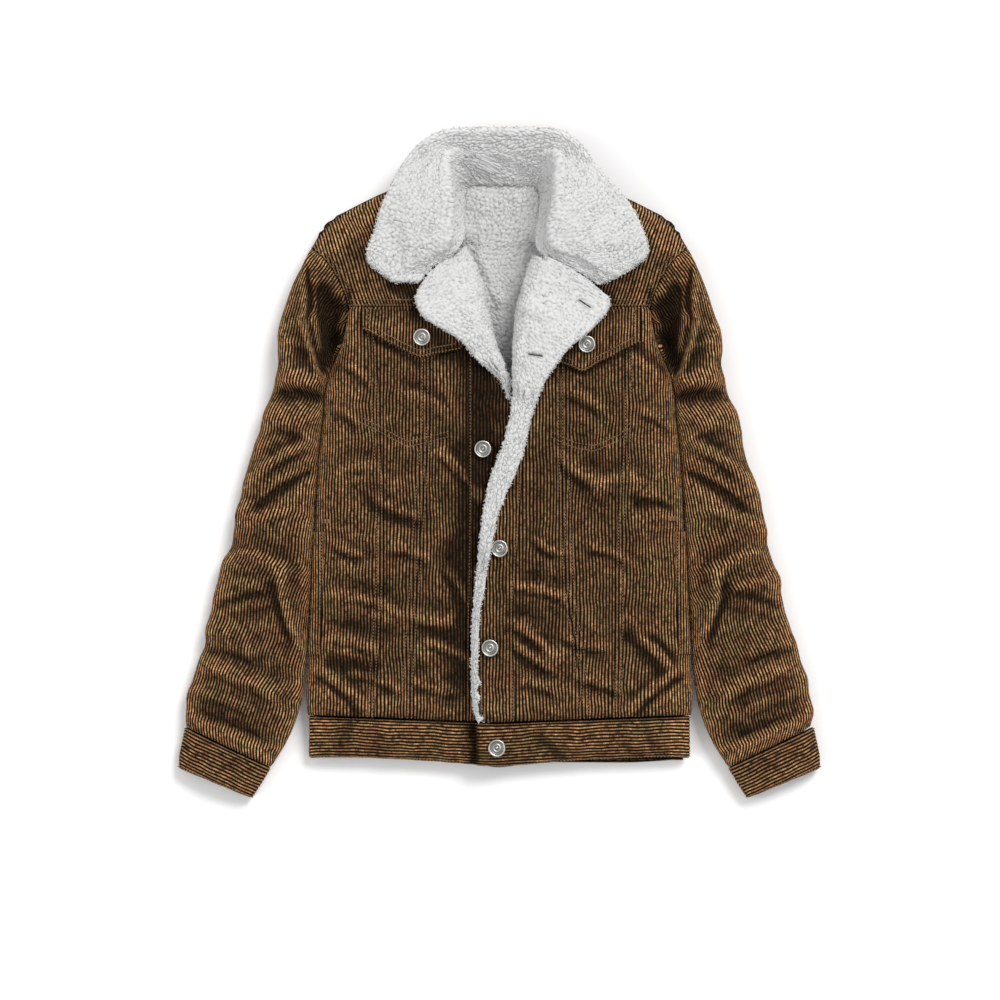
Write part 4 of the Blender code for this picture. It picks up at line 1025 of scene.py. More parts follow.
def seam_run(place, across, rows, out, lift=STITCH_LIFT):
    """A line over a form, one place across for each row: (points, normals)."""
    across = np.asarray(across, float)[:, None] + 0 * rows[:, None]
    middle = place(across, rows)[:, 0]
    ways = place(across + 0.8, rows)[:, 0] - place(across - 0.8, rows)[:, 0]
    normals = unit(np.cross(ways, np.gradient(middle, axis=0)) * out)
    return middle + lift * normals, normals


def straight(points, step=2.0):
    """Evenly spaced places along straight pieces through points."""
    points = np.asarray(points, float)
    runs = run_along(points)
    at = np.linspace(0, runs[-1], max(int(runs[-1] / step), 2))
    return np.stack([np.interp(at, runs, points[:, k]) for k in range(points.shape[1])], 1)


def stitches(name, lines, share=1.0, look="brown_thread", packed=1.0):
    """Beads of thread along lines, each (points, normals); packed stitches overlap."""
    sizes = bpy.context.scene.jacket_stitching
    length, gap = sizes.length / MM, sizes.gap / MM
    radius = share * sizes.thickness / MM / 2
    middles, ways, ups = [], [], []
    for points, normals in lines:
        points = np.asarray(points, float)
        runs = run_along(points)
        count = int(packed * runs[-1] / (length + gap))
        if not count:
            continue
        at = (np.arange(count) + 0.5) * runs[-1] / count
        middle = smooth_curve(runs, points, at)
        ahead = smooth_curve(runs, points, at + 0.3) - smooth_curve(runs, points, at - 0.3)
        middles.append(middle)
        ways.append(unit(ahead))
        ups.append(unit(smooth_curve(runs, np.asarray(normals, float), at)))
    middle, way, up = (np.concatenate(part) for part in (middles, ways, ups))
    side = np.cross(way, up)
    rings = [middle - 0.5 * length * way - 0.5 * radius * up]
    for along, size in ((-0.3, 1.0), (0.3, 1.0)):
        for turn in range(4):
            angle = math.pi / 2 * turn
            out = math.cos(angle) * side + math.sin(angle) * up
            rings.append(middle + along * length * way + size * radius * out)
    rings.append(middle + 0.5 * length * way - 0.5 * radius * up)
    flat = np.stack(rings, 1).reshape(-1, 3)
    start = 10 * np.arange(len(middle))[:, None]
    faces = []
    for turn in range(4):
        a, b = 1 + turn, 1 + (turn + 1) % 4
        faces.append(start + np.array([[0, b, a]]))
        faces.append(start + np.array([[a, b, b + 4, a + 4]]))
        faces.append(start + np.array([[9, a + 4, b + 4]]))
    obj = make_mesh(name, flat, faces, flat[:, :2] / MAP_CELL, material(look))
    return obj


# Forms of the body


def crowned(x):
    """Share of its middle height that the front keeps at x."""
    return 1 - CROWN_FALL * (x / HALF_BODY) ** 2


def middle_share(x):
    return 1 - np.minimum(np.abs(x) / HALF_BODY, 1)


def overlap(side, x, opening):
    """How far the left front rises over the right one, or the right one sinks, at x."""
    if side > 0:
        return OVERLAP_LIFT * (1 - ease((x - opening) / OVERLAP_SPAN))
    return -OVERLAP_SINK * ease((x + OVERLAP_SPAN) / OVERLAP_SPAN)


def front_height(side, x, y):
    """Outer height of a front with its folds, side -1 for the wearer's right."""
    height = at_y(CROWN, "crown", y) * crowned(x) + relief(FRONT_FOLDS, x, y)
    height = height + overlap(side, x, at_y(LEFT_SEAMS, "opening", y))
    inside = at_y(SIDE_EDGE, "edge", y) - np.abs(x)
    share = rounded(inside / at_y(SIDE_EDGE, "radius", y))
    share = mix(share, 1.0, ease((y - YOKE_SEAM_Y) / YOKE_BLEND))
    detail = creased(CREASES, x, y) + CRUMPLE * crumple(x, y, 3 + side)
    height = height + detail * ease(share * 1.6)
    return mix(at_y(SIDE_EDGE, "widest", y), height, share)


def front_y(x, v):
    """y at a share v of the way from the yoke seam to the waist seam."""
    return mix(YOKE_SEAM_Y, BAND_TOP_Y, v) - v * BAND_DIP * middle_share(x)


def tucked(side, edge, end, seat):
    """Points that roll a line's end, at the body's side, round and in to the back."""
    turn = np.radians(np.linspace(6, 90, 16))
    x = side * (edge - SIDE_TUCK * (1 - np.cos(turn)))
    return np.stack([x, np.full(turn.shape, end[1]), mix(end[2], seat, np.sin(turn))], 1)


def side_profile(side, y_middle, edge, start, surface):
    """Points across a front at one height: from start past the middle out to the side, and
    round its roll to the back. Returns running lengths, which are 0 in the middle, and points.
    """
    flat = np.linspace(start, edge * 0.75, FLAT_STEPS)
    bend = edge * (0.75 + 0.25 * np.sin(np.linspace(0, math.pi / 2, BEND_STEPS + 1)[1:]))
    away = np.concatenate([flat, bend])
    points = surface(side * away)
    points = np.concatenate([points, tucked(side, edge, points[-1], SEAT)])
    plain = points.copy()
    plain[: len(away), 2] = smooth_height(side * away, y_middle)
    runs = run_along(plain)
    return runs - np.interp(0.0, away, runs[: len(away)]), points


def smooth_height(x, y):
    """The front's height with no folds, which its wales follow."""
    inside = at_y(SIDE_EDGE, "edge", y) - np.abs(x)
    share = rounded(inside / at_y(SIDE_EDGE, "radius", y))
    return mix(at_y(SIDE_EDGE, "widest", y), at_y(CROWN, "crown", y) * crowned(x), share)


class Front:
    """One front below its yoke seam: a place for each run across the cloth and share down."""

    START = -45.0

    def __init__(self, side):
        self.side = side
        self.seams = LEFT_SEAMS if side > 0 else RIGHT_SEAMS
        self.found = {}

    def profile(self, v):
        """Running lengths and points across the front at v, kept once they are found."""
        key = round(float(v), 7)
        if key not in self.found:
            self.found[key] = self.new_profile(v)
        return self.found[key]

    def new_profile(self, v):
        y = np.float64(mix(YOKE_SEAM_Y, BAND_TOP_Y, v))
        edge = at_y(SIDE_EDGE, "edge", y)

        def surface(x):
            down = front_y(x, v)
            return np.stack([x, down, front_height(self.side, x, down)], 1)

        return side_profile(self.side, y, edge, self.START, surface)

    def place(self, across, rows):
        return on_lines(across, [self.profile(v) for v in np.clip(rows, 0, 1)])

    def seam(self, name, rows):
        """Run across the cloth to a seam, or to the end of the roll, for each row."""
        found, count = [], FLAT_STEPS + BEND_STEPS
        for v in np.clip(rows, 0, 1):
            runs, line = self.profile(v)
            if name == "side":
                found.append(runs[-1])
                continue
            x = at_y(self.seams, name, np.float64(mix(YOKE_SEAM_Y, BAND_TOP_Y, v)))
            found.append(np.interp(x * self.side, line[:count, 0] * self.side, runs[:count]))
        return np.array(found)


def armhole(place, bow, gap):
    """A place on the right armhole: -1 at the shoulder, 1 under the arm."""
    first = SLEEVE[0]
    curve = 1 - place**2
    x = mix(first.outer_x, first.inner_x, (place + 1) / 2) + bow[0] * curve + gap
    y = mix(first.outer_y, first.inner_y, (place + 1) / 2) + bow[1] * curve
    return x, y


def shoulder_height(away, full):
    """Height of the shoulder roll at a distance in from its edge."""
    return mix(SHOULDER_WIDEST, full, rounded(away / SHOULDER_ROLL))


def yoke_outline(side):
    """The yoke's outer and inner edges, as points from the yoke seam up, with side * x > 0."""
    places = np.linspace(YOKE_CORNER, -1, 24)
    x, y = armhole(places, ARMHOLE_FRONT_BOW, SLEEVE_GAP)
    arm = np.stack([-x, y], 1)
    arm[0] = (arm[0, 0], YOKE_SEAM_Y + SEAM_GAP)
    shoulder = along_line([(-x, y) for x, y in SHOULDER], np.linspace(0, 1, 40))
    neck = LEFT_NECK if side > 0 else [(-x, y) for x, y in RIGHT_NECK]
    hole = along_line(neck[::-1], np.linspace(0, 1, 30))
    return arm, shoulder, hole


class Yoke:
    """A front yoke; its wales lean outwards towards the shoulder."""

    LEAN = 0.3

    def __init__(self, side):
        self.side = side
        self.arm, self.shoulder, self.hole = yoke_outline(side)
        outer = np.concatenate([self.arm, self.shoulder])
        self.outer = outer[np.argsort(outer[:, 1], kind="stable")]
        self.inner = self.hole

    def limits(self, rows):
        lean = self.LEAN * (rows - YOKE_SEAM_Y)
        high = np.interp(rows, self.outer[:, 1], self.outer[:, 0]) - lean
        low = np.interp(rows, self.inner[:, 1], self.inner[:, 0]) - lean
        return low, np.maximum(high, low + 1.0)

    def away(self, x, y, line):
        """Distance to a line of points."""
        nearest = np.full(np.shape(x), 1e9)
        for a, b in zip(line[:-1], line[1:]):
            run = b - a
            t = ((x - a[0]) * run[0] + (y - a[1]) * run[1]) / max(run @ run, 1e-9)
            t = np.clip(t, 0, 1)
            nearest = np.minimum(nearest, np.hypot(x - a[0] - t * run[0], y - a[1] - t * run[1]))
        return nearest

    def place(self, across, rows):
        y = rows[:, None] + 0 * across
        out = across + self.LEAN * (y - YOKE_SEAM_Y)
        x = self.side * out
        near = self.away(out, y, self.arm[::3])
        full = front_height(self.side, x, y) - ARMHOLE_SINK * bell(near, ARMHOLE_SOFT)
        z = shoulder_height(self.away(out, y, self.shoulder[::3]), full)
        return np.stack([x, y, z], 2)


def back_edge(y):
    """Half width of the back panels at y."""
    first = SLEEVE[0]
    side = at_y(SIDE_EDGE, "edge", y) - BACK_INSET
    place = np.minimum(2 * (first.outer_y - y) / (first.outer_y - first.inner_y) - 1, 1)
    arm = -armhole(place, ARMHOLE_BACK_BOW, SLEEVE_GAP)[0]
    blend = ease((first.inner_y - y) / ARM_EASE)
    return np.where(y < first.inner_y - ARM_EASE, side, mix(arm, side, blend))


# Forms of the sleeves


def tube_ring(side, table, places, folds):
    """Rings of a sleeve or cuff, from its under seam round over the front, one for each place."""
    angle = np.linspace(UNDER_SEAM - 2 * math.pi, UNDER_SEAM, RING + 1)[None, :]
    row = table_at(table, places)
    place, above = -np.cos(angle), np.sin(angle)
    front = above >= 0
    curve = row["cap"] * (1 - place**2)
    bow_x = np.where(front, ARMHOLE_FRONT_BOW[0], ARMHOLE_BACK_BOW[0])
    bow_y = np.where(front, ARMHOLE_FRONT_BOW[1], ARMHOLE_BACK_BOW[1])
    x = mix(row["outer_x"], row["inner_x"], (place + 1) / 2) + bow_x * curve
    y = mix(row["outer_y"], row["inner_y"], (place + 1) / 2) + bow_y * curve
    widest = mix(SLEEVE_WIDEST * row["height"], SHOULDER_WIDEST, row["cap"])
    high = mix(widest, row["height"], np.maximum(above, 0) ** SLEEVE_TOP)
    high = mix(high, cap_height(x, y, place), row["cap"])
    waves = relief(folds + ARM_HOLLOWS if folds else [], x, y)
    waves = waves + creased(SLEEVE_CREASES if folds else [], x, y)
    waves = waves + (1.3 * CRUMPLE * crumple(x + 300, y, 21 + side) if folds else 0)
    high = high + waves * np.maximum(above, 0)
    low = widest * (1 - np.minimum(np.maximum(-above, 0) / FLAT_SHARE, 1) ** SLEEVE_UNDER)
    z = np.where(front, high, low)
    swell = (1 - row["cap"]) * 2.8 * noise(y / 19, 0 * y, 31 + side) * np.clip(-place, 0, 1)
    x = x - swell * (table is SLEEVE)
    beside = (y > BODY_SIDE_LOW) & (y < YOKE_SEAM_Y)
    x = np.where(beside, np.minimum(x, -at_y(SIDE_EDGE, "edge", y) - SLEEVE_GAP), x)
    return np.stack([-side * x, y, z], 2)


def cap_height(x, y, place):
    """Height of a sleeve's mouth along the front of the armhole."""
    away = np.hypot(x - SHOULDER[0][0], y - SHOULDER[0][1])
    sewn = shoulder_height(away, front_height(-1, x, y) - ARMHOLE_SINK)
    hidden = at_y(SIDE_EDGE, "widest", y) - MOUTH_SINK
    return mix(sewn, hidden, ease((place - YOKE_CORNER) / 0.2))


class Tube:
    """A sleeve: across is a length round it from its outer edge, rows are lengths down it."""

    def __init__(self, side, table, folds):
        self.rings = tube_ring(side, table, np.linspace(0, len(table) - 1, 240), folds)
        aside = -side * self.rings[..., 0] - SLEEVE_PIVOT[0]
        turn = np.arctan2(self.rings[..., 1] - SLEEVE_PIVOT[1], aside)
        down = np.maximum.accumulate((turn[0].max() - turn) * SLEEVE_TURN, axis=0)
        self.down = down * down[-1].mean() / down[-1]
        self.outer = int(np.argmin(self.down[0]))

    def rows(self):
        """Rows down the sleeve, closest where the armhole cuts them."""
        end = self.down[-1].mean()
        return np.concatenate([np.linspace(1.0, 46, 16)[:-1], np.linspace(46, end, 104)])

    def lines(self, rows):
        """The line across the sleeve at each row, cut off at the armhole, and its lengths."""
        found = np.empty((len(rows), RING + 1, 3))
        steps = np.arange(len(self.rings))
        for j in range(RING + 1):
            at = np.interp(rows, self.down[:, j], steps)
            i = np.minimum(at.astype(int), len(steps) - 2)
            found[:, j] = mix(self.rings[i, j], self.rings[i + 1, j], (at - i)[:, None])
        first = self.down[0]
        for line, row in zip(found, rows):
            for way in (1, -1):
                j = self.outer
                while 0 < j < RING and first[j + way] <= row:
                    j += way
                if 0 < j < RING:
                    t = (row - first[j]) / (first[j + way] - first[j])
                    end = mix(self.rings[0, j], self.rings[0, j + way], max(t, 0.02))
                    if way > 0:
                        line[j + 1 :] = end
                    else:
                        line[:j] = end
        runs = run_along(found, 1)
        return found, runs - runs[:, self.outer : self.outer + 1]

    def limits(self, rows):
        runs = self.lines(rows)[1]
        return runs[:, 0], runs[:, -1]

    def place(self, across, rows):
        found, runs = self.lines(rows)
        return on_lines(across, zip(runs, found))


class Cuff:
    """A cuff, whose wales run round it: across is down its length, and rows go round."""

    STEPS = 24

    def __init__(self, side):
        self.rings = tube_ring(side, CUFF, np.linspace(0, len(CUFF) - 1, self.STEPS), [])
        self.runs = run_along(self.rings)

    def limits(self, rows):
        return 0 * rows, np.interp(rows, np.arange(RING + 1), self.runs[-1])

    def place(self, across, rows):
        lines = []
        for place in rows % RING:
            i, t = int(place), place - int(place)
            run = mix(self.runs[:, i], self.runs[:, i + 1], t)
            lines.append((run, mix(self.rings[:, i], self.rings[:, i + 1], t)))
        return on_lines(across, lines)


# Forms of the waistband


class Band:
    """A half of the waistband: across is down from the waist seam, and rows go along it."""

    STEPS = 26

    def __init__(self, side, low, high):
        self.lines, self.lengths = [], []
        for down in np.linspace(0, 1, self.STEPS):
            line = self.new_line(side, np.linspace(low, high, 150), down)
            end = line[0] if side < 0 else line[-1]
            tuck = tucked(side, abs(end[0]), end, BAND_CLOTH + SEAM_GAP)
            line = np.concatenate([tuck[::-1], line] if side < 0 else [line, tuck])
            runs = run_along(line)
            self.lines.append(line)
            self.lengths.append(runs / runs[-1])
        self.reach = runs[-1]

    def new_line(self, side, x, down):
        """Points along the band at a share of the way down."""
        full = smooth_curve([row.down for row in BAND], [row.height for row in BAND], down)
        middle = middle_share(x)
        top = BAND_TOP_Y - BAND_DIP * middle - 2 * SEAM_GAP
        y = mix(top, HEM_SIDE_Y - HEM_DIP * middle**2, down)
        height = full * crowned(x) + overlap(side, x, WAIST_TAB_X)
        widest = np.minimum(at_y(SIDE_EDGE, "widest", y), full * BAND_WIDEST)
        inside = at_y(SIDE_EDGE, "edge", y) - np.abs(x)
        share = rounded(inside / at_y(SIDE_EDGE, "radius", y))
        z = mix(widest, height, share)
        z = z + (1.4 * noise(x / 30, y / 60 + 3, 41) + 1.2 * crumple(x, y, 43)) * share
        return np.stack([x, y, z], 1)

    def limits(self, rows):
        steps = np.linalg.norm(np.diff(self.columns(rows), axis=0), axis=2)
        return 0 * rows, steps.sum(axis=0)

    def columns(self, rows):
        """Points down the band at each row, as (down, row, 3)."""
        share = np.clip(rows / self.reach, 0, 1)
        return on_lines([share] * self.STEPS, zip(self.lengths, self.lines))

    def place(self, across, rows):
        columns = self.columns(rows).transpose(1, 0, 2)
        return on_lines(across, [(run_along(line), line) for line in columns])


# Forms of the pieces laid on them


class Draped:
    """A form through a coarse grid of points: across in millimetres, rows counted in its rows."""

    def __init__(self, coarse):
        self.grid = np.asarray(coarse, float)
        self.widths = mean_run(self.grid, 1)
        self.last = len(self.grid) - 1

    def limits(self, rows):
        return 0 * rows, 0 * rows + self.widths[-1]

    def place(self, across, rows):
        lines = smooth_curve(range(self.last + 1), self.grid, rows)
        return np.stack([smooth_curve(self.widths, line, at) for line, at in zip(lines, across)])


def flap_grid(table, terrain):
    """A pocket flap's coarse grid, laid on what is under it."""
    steps = np.linspace(0, 1, 9)[:, None]
    places = np.linspace(0, len(table) - 1, 2 * len(table) - 1)
    x, top, bottom = (at_row(table, name, places)[None, :] for name in table[0]._fields)
    x = x + 0 * steps
    y = mix(top, bottom, steps)
    z = terrain.rest(x, y, 5) + LAID_GAP + FLAP_CLOTH + FLAP_PUFF * np.sin(math.pi * steps)
    return np.dstack([x, y, z + FLAP_LIFT * steps * (1 + noise(x / 18, y / 18, 91))])


def lapel_rows(table, steps):
    """The table's columns at places steps to each row, as arrays."""
    places = np.linspace(0, len(table) - 1, (len(table) - 1) * steps + 1)
    row = table_at(table, places)
    edge = np.stack([row["edge_x"], row["edge_y"]], 2)
    roll = np.stack([row["roll_x"], row["roll_y"]], 2)
    length = np.linalg.norm(roll - edge, axis=2, keepdims=True)
    return row, roll, (roll - edge) / length, length


def lapel_cloth_grid(table, terrain):
    """A lapel's cloth, which lies under its facing from near its edge to its roll."""
    row, roll, way, length = lapel_rows(table, 2)
    inside = mix(length - LAPEL_INSET, FACING_ROLL, np.linspace(0, 1, 7)[None, :, None])
    place = roll - way * inside
    z = terrain.rest(place[..., 0], place[..., 1], LAPEL_REACH) + LAPEL_GAP + CLOTH
    grid = np.dstack([place, z])
    return grid[:, ::-1] if table[0].roll_x > 0 else grid


def gorge(side):
    """The lapel's top edge, along the collar's front seam, from the notch to the roll."""
    rows = COLLAR[:4] if side < 0 else COLLAR[:-5:-1]
    line = along_line([(row.neck_x, row.neck_y) for row in rows], np.linspace(0, 0.95, 9))
    run = unit(np.gradient(line, axis=0))
    return line + GORGE_GAP * np.stack([-side * run[:, 1], side * run[:, 0]], 1)


def facing_grid(side, table, terrain):
    """Over the lapel, round its roll, and under the front edge."""
    row, roll, way, length = lapel_rows(table, 2)
    steps = np.linspace(0, 1, 9)[None, :, None]
    over = roll + way * mix(-length, -np.minimum(FACING_ROLL, length / 2), steps)
    over[0] = gorge(side)
    top = terrain.rest(over[..., 0], over[..., 1], LAPEL_REACH) + LAPEL_GAP + FACING_PILE
    lines = [np.dstack([over, top])]
    floors = []
    for inside in (FACING_ROLL, FACING_ROLL + UNDER_LEG):
        place = roll - way * inside
        floor = front_height(side, place[..., 0], place[..., 1]) - CLOTH - UNDER_GAP - FACING_PILE
        floors.append(mix(floor, NECK_FLOOR, row["sunk"]))
    high, low = top[:, -1:], floors[0]
    for angle in np.radians(np.arange(70, -91, -20)):
        ahead = (FACING_ROLL + row["inward"]) * math.cos(angle) - FACING_ROLL
        z = (high + low) / 2 + (high - low) / 2 * math.sin(angle)
        lines.append(np.dstack([roll + way * ahead[..., None], z]))
    lines.append(np.dstack([roll - way * (FACING_ROLL + UNDER_LEG), floors[1]]))
    grid = np.concatenate(lines, axis=1)
    return grid if side < 0 else grid[:, ::-1]


def collar_grid(terrain):
    """The surface between the collar's cloth and its pile, from neck to edge."""
    places = np.linspace(0, len(COLLAR) - 1, 3 * len(COLLAR) - 2)
    row = table_at(COLLAR, places)
    t = np.linspace(0, 1, 7)[None, :]
    fold = row["fold"]
    swing = mix(t, np.sin(t * math.pi / 2), STAND_BOW * fold)
    rise = mix(t, 1 - np.cos(t * math.pi / 2), STAND_BOW * fold)
    stand = [
        mix(row["neck_x"], row["roll_x"], swing),
        mix(row["neck_y"], row["roll_y"], swing),
        mix(row["neck_z"], row["roll_z"], rise),
    ]
    t = np.linspace(0, 1, 9)[None, 1:]
    fall = [
        mix(row["roll_x"], row["edge_x"], t),
        mix(row["roll_y"], row["edge_y"], t),
        mix(row["roll_z"], row["edge_z"], mix(t, t**COLLAR_ROUND, fold)),
    ]
    grid = np.concatenate([np.dstack(stand), np.dstack(fall)], axis=1)
    under = terrain.rest(grid[..., 0], grid[..., 1], 6) + LAID_GAP + CLOTH
    on = terrain.rest(grid[..., 0], grid[..., 1], 0) > 0
    grid[..., 2] = np.where(on, np.maximum(grid[..., 2], under), grid[..., 2])
    return grid.transpose(1, 0, 2)[::-1]


def lining_grid():
    """The lining inside the back, which climbs at its ends to the neck seam."""
    table = [NECK_LINING[0]._replace(y=321)] + NECK_LINING
    places = np.linspace(0, len(table) - 1, 2 * len(table) - 1)
    row = table_at(table, places)
    t = np.linspace(0, 1, 17)[None, :]
    climb = row["rise"] * np.abs(2 * t - 1) ** 4
    x = mix(row["right"] - NECK_OVERLAP, row["left"] + NECK_OVERLAP, t)
    return np.dstack([x, row["y"] + 0 * x, LINING_TOP + climb])


def lathe(middle, profile, sides):
    """A shape turned round an upright axis: its points, and their numbers as a closed grid."""
    angle = 2 * math.pi * np.arange(sides) / sides
    side = unit(np.cross(UP, (0.0, 1.0, 0.1)))
    other = np.cross(UP, side)
    rings = []
    for radius, height in profile:
        out = radius * (np.cos(angle)[:, None] * side + np.sin(angle)[:, None] * other)
        rings.append(middle + out + height * UP)
    ids = np.arange(len(profile) * sides).reshape(len(profile), sides)
    return np.concatenate(rings), np.concatenate([ids, ids[:, :1]], axis=1)


# Materials


def tree_node(tree, kind, values=None, **settings):
    """A node with its settings, and with values for the inputs named."""
    made = tree.nodes.new(kind)
    for name, value in settings.items():
        setattr(made, name, value)
    dial(made, values or {})
    return made


def dial(node, values):
    for label, value in values.items():
        node.inputs[label].default_value = value


def wire(tree, source, socket):
    tree.links.new(source, socket)


def group_tree(name, inputs, outputs):
    """A node group with named sockets, each (name, type, default)."""
    tree = bpy.data.node_groups.new(name, "ShaderNodeTree")
    for label, kind, default in inputs:
        socket = tree.interface.new_socket(label, in_out="INPUT", socket_type=kind)
        socket.default_value = default
    for label, kind in outputs:
        tree.interface.new_socket(label, in_out="OUTPUT", socket_type=kind)
    return tree, tree_node(tree, "NodeGroupInput"), tree_node(tree, "NodeGroupOutput")


def feed(tree, socket, value):
    """Gives a socket a number, a colour or another node's output."""
    if isinstance(value, (int, float, tuple)):
        socket.default_value = value
    else:
        wire(tree, value, socket)


def math_node(tree, operation, *values):
    made = tree_node(tree, "ShaderNodeMath", operation=operation)
    for socket, value in zip(made.inputs, values):
        feed(tree, socket, value)
    return made.outputs[0]


def graded(tree, value, factor, start=0.0):
    """start + factor * value."""
    grown = math_node(tree, "MULTIPLY", value, factor)
    return math_node(tree, "ADD", start, grown) if start else grown


def node_at(tree, x, y):
    """A place made of two values."""
    made = tree_node(tree, "ShaderNodeCombineXYZ")
    wire(tree, x, made.inputs["X"])
    wire(tree, y, made.inputs["Y"])
    return made.outputs[0]


def cloth_map(tree, name):
    """The two values of a map that every point of a piece carries."""
    split = tree_node(tree, "ShaderNodeSeparateXYZ")
    wire(tree, tree_node(tree, "ShaderNodeUVMap", uv_map=name).outputs["UV"], split.inputs[0])
    return split.outputs["X"], split.outputs["Y"]


def mottled(tree, patch, fleck):
    """Patches and flecks of the shared group, at sizes in millimetres."""
    sizes = {"Patch Size": patch, "Fleck Size": fleck}
    made = tree_node(tree, "ShaderNodeGroup", node_tree=shared_group("worn_mottle"))
    dial(made, sizes)
    return made.outputs["Patches"], made.outputs["Flecks"]


def mix_colour(tree, factor, first, second, blend="MIX"):
    made = tree_node(tree, "ShaderNodeMix", data_type="RGBA", blend_type=blend)
    for place, value in ((0, factor), (6, first), (7, second)):  # the inputs used for colours
        feed(tree, made.inputs[place], value)
    return made.outputs[2]


def noise_node(tree, vector, scale, detail, roughness):
    values = {"Scale": scale, "Detail": detail, "Roughness": roughness}
    made = tree_node(tree, "ShaderNodeTexNoise", values)
    wire(tree, vector, made.inputs["Vector"])
    return made.outputs["Fac"]


def spread(tree, value, low, high):
    """Maps low..high to 0..1, and holds it there."""
    made = tree_node(tree, "ShaderNodeMapRange", {"From Min": low, "From Max": high}, clamp=True)
    wire(tree, value, made.inputs["Value"])
    return made.outputs["Result"]


def worn_mottle():
    """Group: large soft patches and fine flecks, shared by cloth, pile and metal."""
    tree, start, end = group_tree(
        "worn_mottle",
        [
            ("Patch Size", "NodeSocketFloat", 40.0),
            ("Fleck Size", "NodeSocketFloat", 1.2),
        ],
        [("Patches", "NodeSocketFloat"), ("Flecks", "NodeSocketFloat")],
    )
    where = tree_node(tree, "ShaderNodeTexCoord").outputs["Object"]
    for label, out, detail in (("Patch Size", "Patches", 3.0), ("Fleck Size", "Flecks", 2.0)):
        scale = math_node(tree, "DIVIDE", 1000.0, start.outputs[label])
        made = tree_node(tree, "ShaderNodeTexNoise", {"Detail": detail})
        wire(tree, where, made.inputs["Vector"])
        wire(tree, scale, made.inputs["Scale"])
        wire(tree, made.outputs["Fac"], end.inputs[out])
    return tree


def wale_pile():
    """Group: corduroy's wales from the cloth's own map, with streaks, patches and flecks."""
    tree, start, end = group_tree(
        "wale_pile",
        [
            ("Crest", "NodeSocketColor", (0.3, 0.15, 0.06, 1)),
            ("Groove", "NodeSocketColor", (0.03, 0.015, 0.007, 1)),
            ("Rust", "NodeSocketColor", (0.25, 0.08, 0.03, 1)),
            ("Olive", "NodeSocketColor", (0.16, 0.12, 0.04, 1)),
        ],
        [("Color", "NodeSocketColor"), ("Height", "NodeSocketFloat"), ("Rough", "NodeSocketFloat")],
    )
    # A wale is one unit across the map, with its groove at the ends of the unit.
    across, along = cloth_map(tree, "cloth")
    side = math_node(tree, "SUBTRACT", math_node(tree, "FRACT", across), 0.5)
    groove = spread(tree, math_node(tree, "ABSOLUTE", side), 0.07, 0.31)
    row = math_node(tree, "FLOOR", across)
    # Each wale has its own streaks of light and of hue along it.
    streak_at = node_at(tree, graded(tree, row, 7.31), graded(tree, along, 0.55))
    streak = noise_node(tree, streak_at, 1.0, 3.0, 0.6)
    hue_at = node_at(tree, graded(tree, row, 3.77), graded(tree, along, 0.6))
    hue = noise_node(tree, hue_at, 1.0, 2.0, 0.6)
    patches, flecks = mottled(tree, 26.0, 1.1)
    hue = math_node(tree, "ADD", graded(tree, hue, 0.6), graded(tree, patches, 0.4))
    crest, rust, olive = (start.outputs[name] for name in ("Crest", "Rust", "Olive"))
    tint = mix_colour(tree, spread(tree, hue, 0.49, 0.58), crest, rust)
    tint = mix_colour(tree, spread(tree, hue, 0.47, 0.4), tint, olive)
    # Brightness falls with the streaks and the flecks, and with how far the cloth stands out: wear
    # lighter on ridges, painted shade in hollows, and the painted shadows and highlights.
    streaked = graded(tree, spread(tree, streak, 0.32, 0.7), 1.3, 0.25)
    flecked = graded(tree, spread(tree, flecks, 0.32, 0.7), 1.15, 0.45)
    worn_and_shaded = math_node(tree, "POWER", cloth_map(tree, "wear")[0], 1.2)
    lit = math_node(tree, "MULTIPLY", streaked, flecked)
    lit = math_node(tree, "MULTIPLY", lit, graded(tree, worn_and_shaded, 1.55, 0.15))
    shade = tree_node(tree, "ShaderNodeCombineColor")
    for socket in shade.inputs:
        wire(tree, lit, socket)
    pile = mix_colour(tree, 1.0, tint, shade.outputs[0], "MULTIPLY")
    # The grooves take the groove colour: the ground weave, darkened to near black with painted shade.
    wire(tree, mix_colour(tree, groove, pile, start.outputs["Groove"]), end.inputs["Color"])
    height = math_node(tree, "SUBTRACT", graded(tree, flecks, 0.5), groove)
    wire(tree, height, end.inputs["Height"])
    wire(tree, graded(tree, streak, 0.2, 0.8), end.inputs["Rough"])
    return tree


def curl_pile():
    """Group: curly pile, bright on the knots and darker between them with painted shade."""
    tree, start, end = group_tree(
        "curl_pile",
        [
            ("Knot", "NodeSocketColor", (0.8, 0.79, 0.77, 1)),
            ("Deep", "NodeSocketColor", (0.5, 0.48, 0.45, 1)),
        ],
        [("Color", "NodeSocketColor"), ("Height", "NodeSocketFloat")],
    )
    where = tree_node(tree, "ShaderNodeTexCoord").outputs["Object"]
    fibres = noise_node(tree, where, 900.0, 3.0, 0.7)
    # Painted shade: the pile darkens between its knots, in patches.
    deep = spread(tree, cloth_map(tree, "wear")[0], 0.75, 0.15)
    patches = mottled(tree, 22.0, 0.8)[0]
    amount = math_node(tree, "MULTIPLY", deep, spread(tree, patches, 0.1, 0.7))
    colour = mix_colour(tree, amount, start.outputs["Knot"], start.outputs["Deep"])
    wire(tree, colour, end.inputs["Color"])
    height = math_node(tree, "SUBTRACT", graded(tree, fibres, 0.6), deep)
    wire(tree, height, end.inputs["Height"])
    return tree


SHARED_GROUPS = {"worn_mottle": worn_mottle, "wale_pile": wale_pile, "curl_pile": curl_pile}


def shared_group(name):
    return bpy.data.node_groups.get(name) or SHARED_GROUPS[name]()


def blank_material(name):
    made = bpy.data.materials.new(name)
    made.use_nodes = True
    tree = made.node_tree
    return made, tree, tree.nodes["Principled BSDF"]


